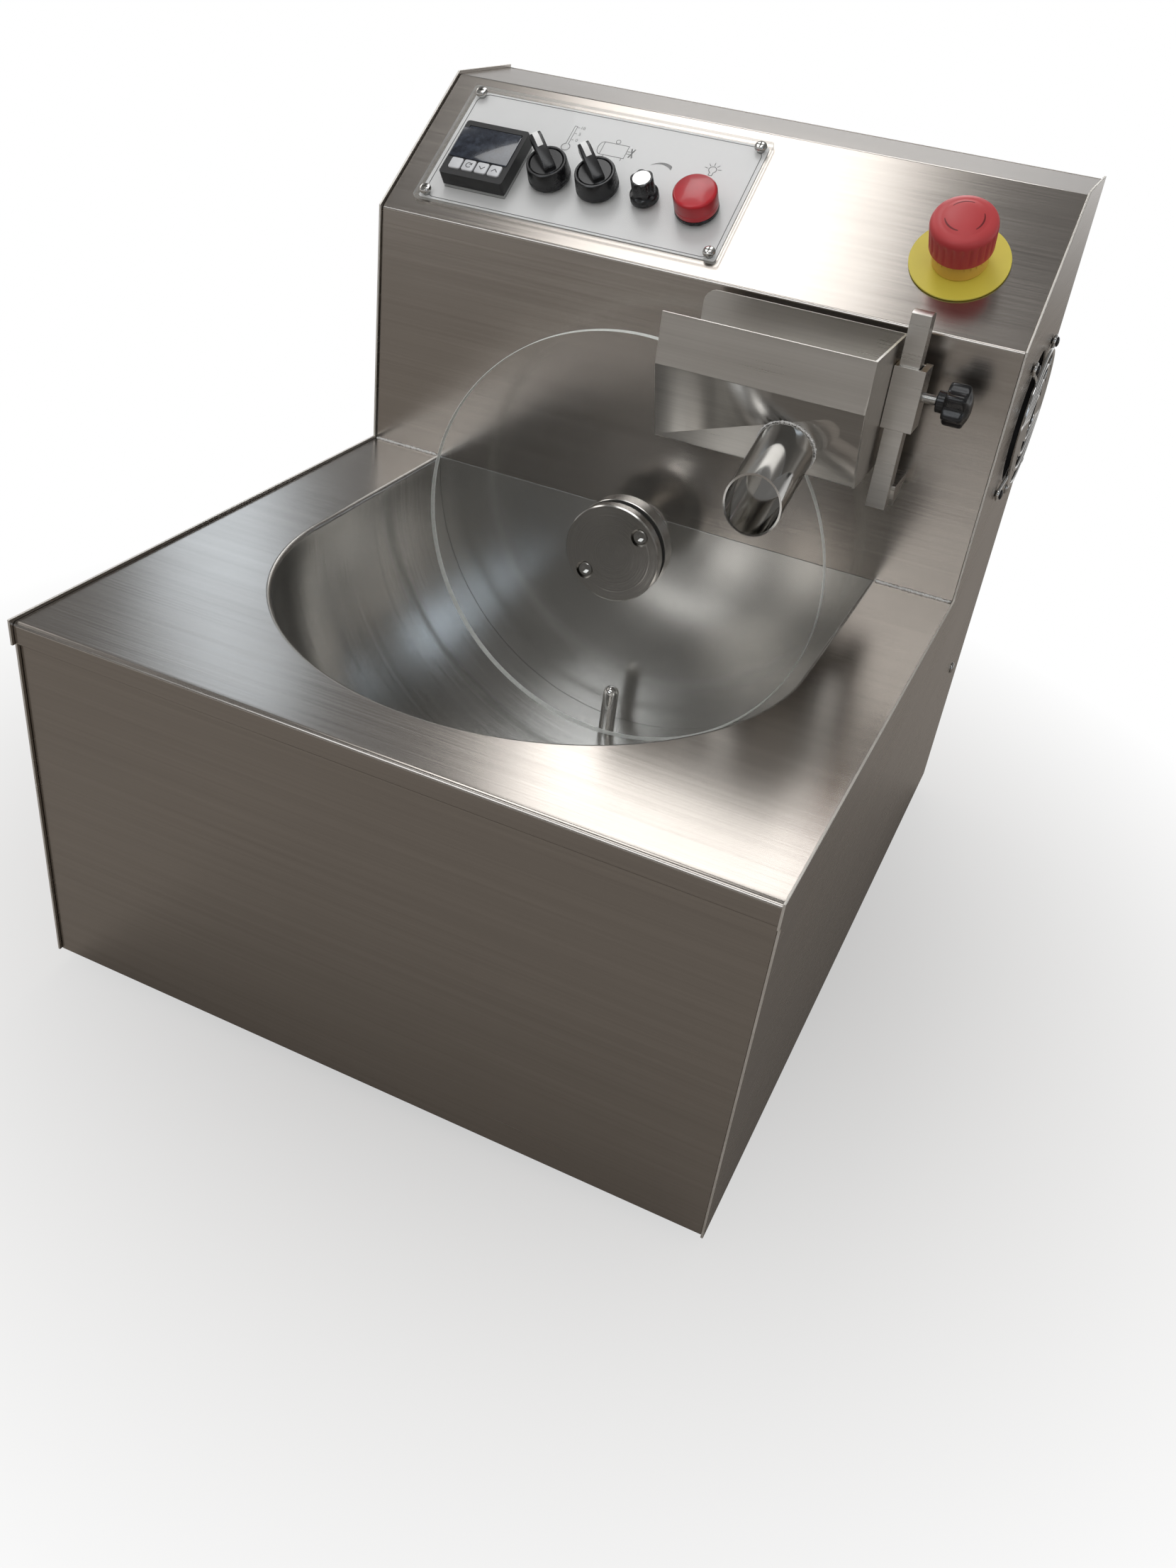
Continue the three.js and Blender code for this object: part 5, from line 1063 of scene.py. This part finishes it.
# Console: pilot lamp
ring_rows = [(11, PLATE_TOP), (14.2, PLATE_TOP), (14.5, 4.1), (14.5, 5.9), (14.2, 6.2), (0, 6.2)]
lamp_place = on_console(LAMP_AT)
piece("lamp_ring", seated(ring_rows), lamp_place, "housing", black_gloss, ["pilot_lamp_body"], 30)
lens_rows = [(0, 6.5), (14.1, 6.5), (14.4, 6.8), (14.4, 9.4), (14.15, 9.6), (14.15, 9.8), (14.4, 10.0)]
lens_edge = [math.radians(degrees) for degrees in (15, 30, 45, 60, 75, 86)]
lens_rows += [(14.4, 17.4)] + [(12.4 + 2 * math.cos(a), 17.4 + 2 * math.sin(a)) for a in lens_edge]
lens_rows += [(8, 20.2), (4, 20.6), (0, 20.7)]
piece("lamp_lens", Form().turn(lens_rows), lamp_place, "housing", red_clear, ["pilot_lamp_lens"], 30)


# Console: stop button's plate, ribbed collar and stem
stop_place = on_console(STOP_AT)
stop_disc = Form().turn([(11.6, 0.3), (30.2, 0.3), (30.5, 0.5), (30.5, 1.3), (30.2, 1.5), (11.6, 1.5)], 128)
piece("stop_disc", stop_disc, stop_place, "housing", yellow, ["estop_plate"], 30)
collar_rows = [(11, 1.8), (16.5, 1.8), (16.8, 2.1), (16.8, 13.0), (16.4, 13.5)]
collar_rows += [(6.3, 13.5), (6.3, -16.3), (0, -16.3)]
rib = held("rib", Form().prism(rounded_box(0.8, 1.2, 0.3, 3, (16.75, 0)), 9.4, 13.2).data("rib"))
ribs = about_axis.shape("collar_ribs", points_mesh([]), orange, Shape=rib, Count=28)
bpy.data.objects.remove(rib)
piece("stop_collar", seated(collar_rows).add(ribs), stop_place, "housing", orange, ["estop_body"], 30)
stem = Form().turn([(0, -12), (5.6, -12), (6, -11.6), (6, 26.6), (5.6, 27), (0, 27)], 48)
piece("stop_stem", stem, stop_place, "estop_stem", black_matt, ["estop_stem"], 30)

# Console: stop button's head, with grips round its side and a shallow dome
crown_rows = [(19.95, 31.4), (19.4, 32.7), (18.6, 33.6), (17.4, 34.3), (16.2, 34.75), (15.2, 35.05)]
crown_rows += [(14.4, 35.2), (13.8, 35.28), (13.2, 35.5), (12.0, 35.95), (9.5, 36.6), (6.5, 37.05)]
crown_rows += [(3.2, 37.25), (0, 37.3)]
grip_rows = [(0, 27.3), (6.3, 27.3), (6.3, 20.5), (17.6, 20.5), (17.6, 14.0), (18.9, 14.0), (19.4, 14.4)]
grip_rows += [(19.45, 16.0, 0.0), (19.6, 18.5, 0.75), (20.0, 26.5, 0.75), (20.1, 29.0, 0.5), (20.1, 30.0)]
head = Form().turn(grip_rows + crown_rows, 192, scalloped(24, 3, -1))
piece("stop_head", head, stop_place, "estop_head", red_matt, ["estop_head"], 35)


# Console: three curved marks that say which way the head twists, darkened as painted shade of engraved
# grooves
def crown_height(radius):
    for (outer, low), (inner, high) in zip(crown_rows, crown_rows[1:]):
        if inner <= radius <= outer:
            return high + (low - high) * (radius - inner) / (outer - inner)


marks = Form()
for start in (200, 320, 440):
    sections = []
    for i in range(25):
        t = i / 24
        turned = math.radians(start + 66 * t)
        half = 0.28 + 0.22 * math.sin(math.pi * t)
        middle = 11.6 - 0.5 * t
        edges = ((middle - half, -0.15), (middle + half, -0.15), (middle + half, 0.04), (middle - half, 0.04))
        x, y = math.cos(turned), math.sin(turned)
        sections.append([(r * x, r * y, crown_height(r) + lift) for r, lift in edges])
    marks.skin(sections)
piece("stop_marks", marks, stop_place, "estop_head", red_groove_painted_shade, (), 30)


# Studio: floor, that keeps the shadow near the machine and is white to the camera further off
FLOOR_RADIUS = 40000
CAMERA, GLOSS, THROUGH = 0, 3, 6  # kinds of ray, as the Light Path node's outputs


def ray(nodes, kind):
    return nodes.add("ShaderNodeLightPath", {}, {}, kind)


def ground(nodes):
    x, y, z = nodes.parts(nodes.add("ShaderNodeTexCoord", {}, {}, 3))
    away = (x * x + y * y) ** 0.5
    white_to_camera = (0.62 + (away - 0.3) * 1.2).clamped() * ray(nodes, CAMERA)
    white_in_gloss = ((away - 2) / 3).clamped() * (ray(nodes, GLOSS) + ray(nodes, THROUGH))
    paper = nodes.add("ShaderNodeBsdfDiffuse", {}, {"Color": (0.3, 0.275, 0.25, 1)})
    white = nodes.add("ShaderNodeEmission", {}, {"Color": (1, 1, 1, 1), "Strength": 1.0})
    share = (white_to_camera + white_in_gloss).clamped()
    return nodes.add("ShaderNodeMixShader", {}, {0: share, 1: paper, 2: white})


floor_shape = Form().turn([(0, -2), (FLOOR_RADIUS, -2), (FLOOR_RADIUS, 0), (0, 0)])
floor_shape.move(Matrix.Scale(METRES, 4))
floor = held("studio_floor", floor_shape.data("studio_floor"), [finish("studio floor", "none", ground)])

# Studio: a room with windows that only gloss and clear parts show, white to the camera
DIM_WALL, BRIGHT_WALL, CEILING = (0.17, 0.16, 0.15), (0.7, 0.7, 0.7), (0.18, 0.178, 0.175)
DAYLIGHT = (0.7, 0.7, 0.7)
WINDOWS = (
    ((-0.25, -0.83, 0.48), 0.3, 0.15, (3, 3.15, 3.3)),
    ((-0.05, -0.5, 0.86), 0.35, 0.13, (3.3, 3.35, 3.4)),
    ((0.59, -0.75, 0.33), 0.1, 0.12, (2.6, 3.1, 3.7)),
    ((-0.78, 0.05, 0.6), 0.45, 0.14, (2.4, 2.35, 2.3)),
)
world = bpy.data.worlds.new("studio")
scene.world = world
world.use_nodes = True
sky = Nodes(world.node_tree)
x, y, z = sky.parts(sky.add("ShaderNodeTexCoord", {}, {}, 0))


def pane_seen(toward, wide, high):
    """Where a pane stands, by its direction from the machine and its half sizes at distance 1"""
    aim = Vector(toward).normalized()
    sideways = aim.cross((0, 0, 1)).normalized()
    ahead, across, lift = (
        x * way.x + y * way.y + z * way.z for way in (aim, sideways, sideways.cross(aim))
    )
    across, lift = across / ahead, lift / ahead
    within = ((wide * wide - across * across) * 12 / wide).clamped()
    within = within * ((high * high - lift * lift) * 12 / high).clamped()
    return within * (ahead * 99).clamped()


wall = sky.blend((y * 0.9 + 0.4).clamped(), DIM_WALL, BRIGHT_WALL)
room = sky.blend(((z - 0.15) / 0.2).clamped(), wall, CEILING)
for toward, wide, high, tone in WINDOWS:
    room = sky.blend(pane_seen(toward, wide, high), room, tone)
mirrored = sky.blend((ray(sky, GLOSS) + ray(sky, THROUGH)).clamped(), DAYLIGHT, room)
colour = sky.blend(ray(sky, CAMERA), mirrored, (1, 1, 1))
background = sky.add("ShaderNodeBackground", {}, {"Color": colour, "Strength": 1.0})
sky.add("ShaderNodeOutputWorld", {}, {"Surface": background})


# Studio: lamps
def softbox(name, at, aim, width, height, power, tone=(1, 1, 1)):
    lamp = bpy.data.lights.new(name, "AREA")
    lamp.shape = "RECTANGLE"
    lamp.size = width
    lamp.size_y = height
    lamp.energy = power
    lamp.color = tone
    thing = bpy.data.objects.new(name, lamp)
    thing.location = at
    thing.rotation_euler = (Vector(aim) - Vector(at)).to_track_quat("-Z", "Y").to_euler()
    scene.collection.objects.link(thing)


softbox("softbox overhead", (-0.49, 0.3, 1.95), (-0.49, 0.3, 0.2), 0.6, 0.9, 5.3)
softbox("softbox behind", (-0.44, 1.9, 1.6), (-0.1, 0, 0.25), 0.84, 0.8, 8.4)
softbox("softbox left", (-1.8, 1.9, 1.5), (-0.15, -0.1, 0.25), 0.34, 1.0, 1.7, (0.76, 0.88, 1))

# Camera at the photograph's viewpoint
CAMERA_AT = (0.2911, -0.7422, 0.6129)
CAMERA_TURN = Vector((2.1027, 0.5273, -0.1251))
view = Matrix.Rotation(CAMERA_TURN.length, 3, CAMERA_TURN.normalized())
lens = bpy.data.cameras.new("camera")
lens.lens = 30.905
lens.sensor_width = 36
camera = bpy.data.objects.new("camera", lens)
camera.matrix_world = axes(view[0], -view[1], -view[2], CAMERA_AT)
scene.collection.objects.link(camera)
scene.camera = camera
scene.view_settings.view_transform = "Standard"
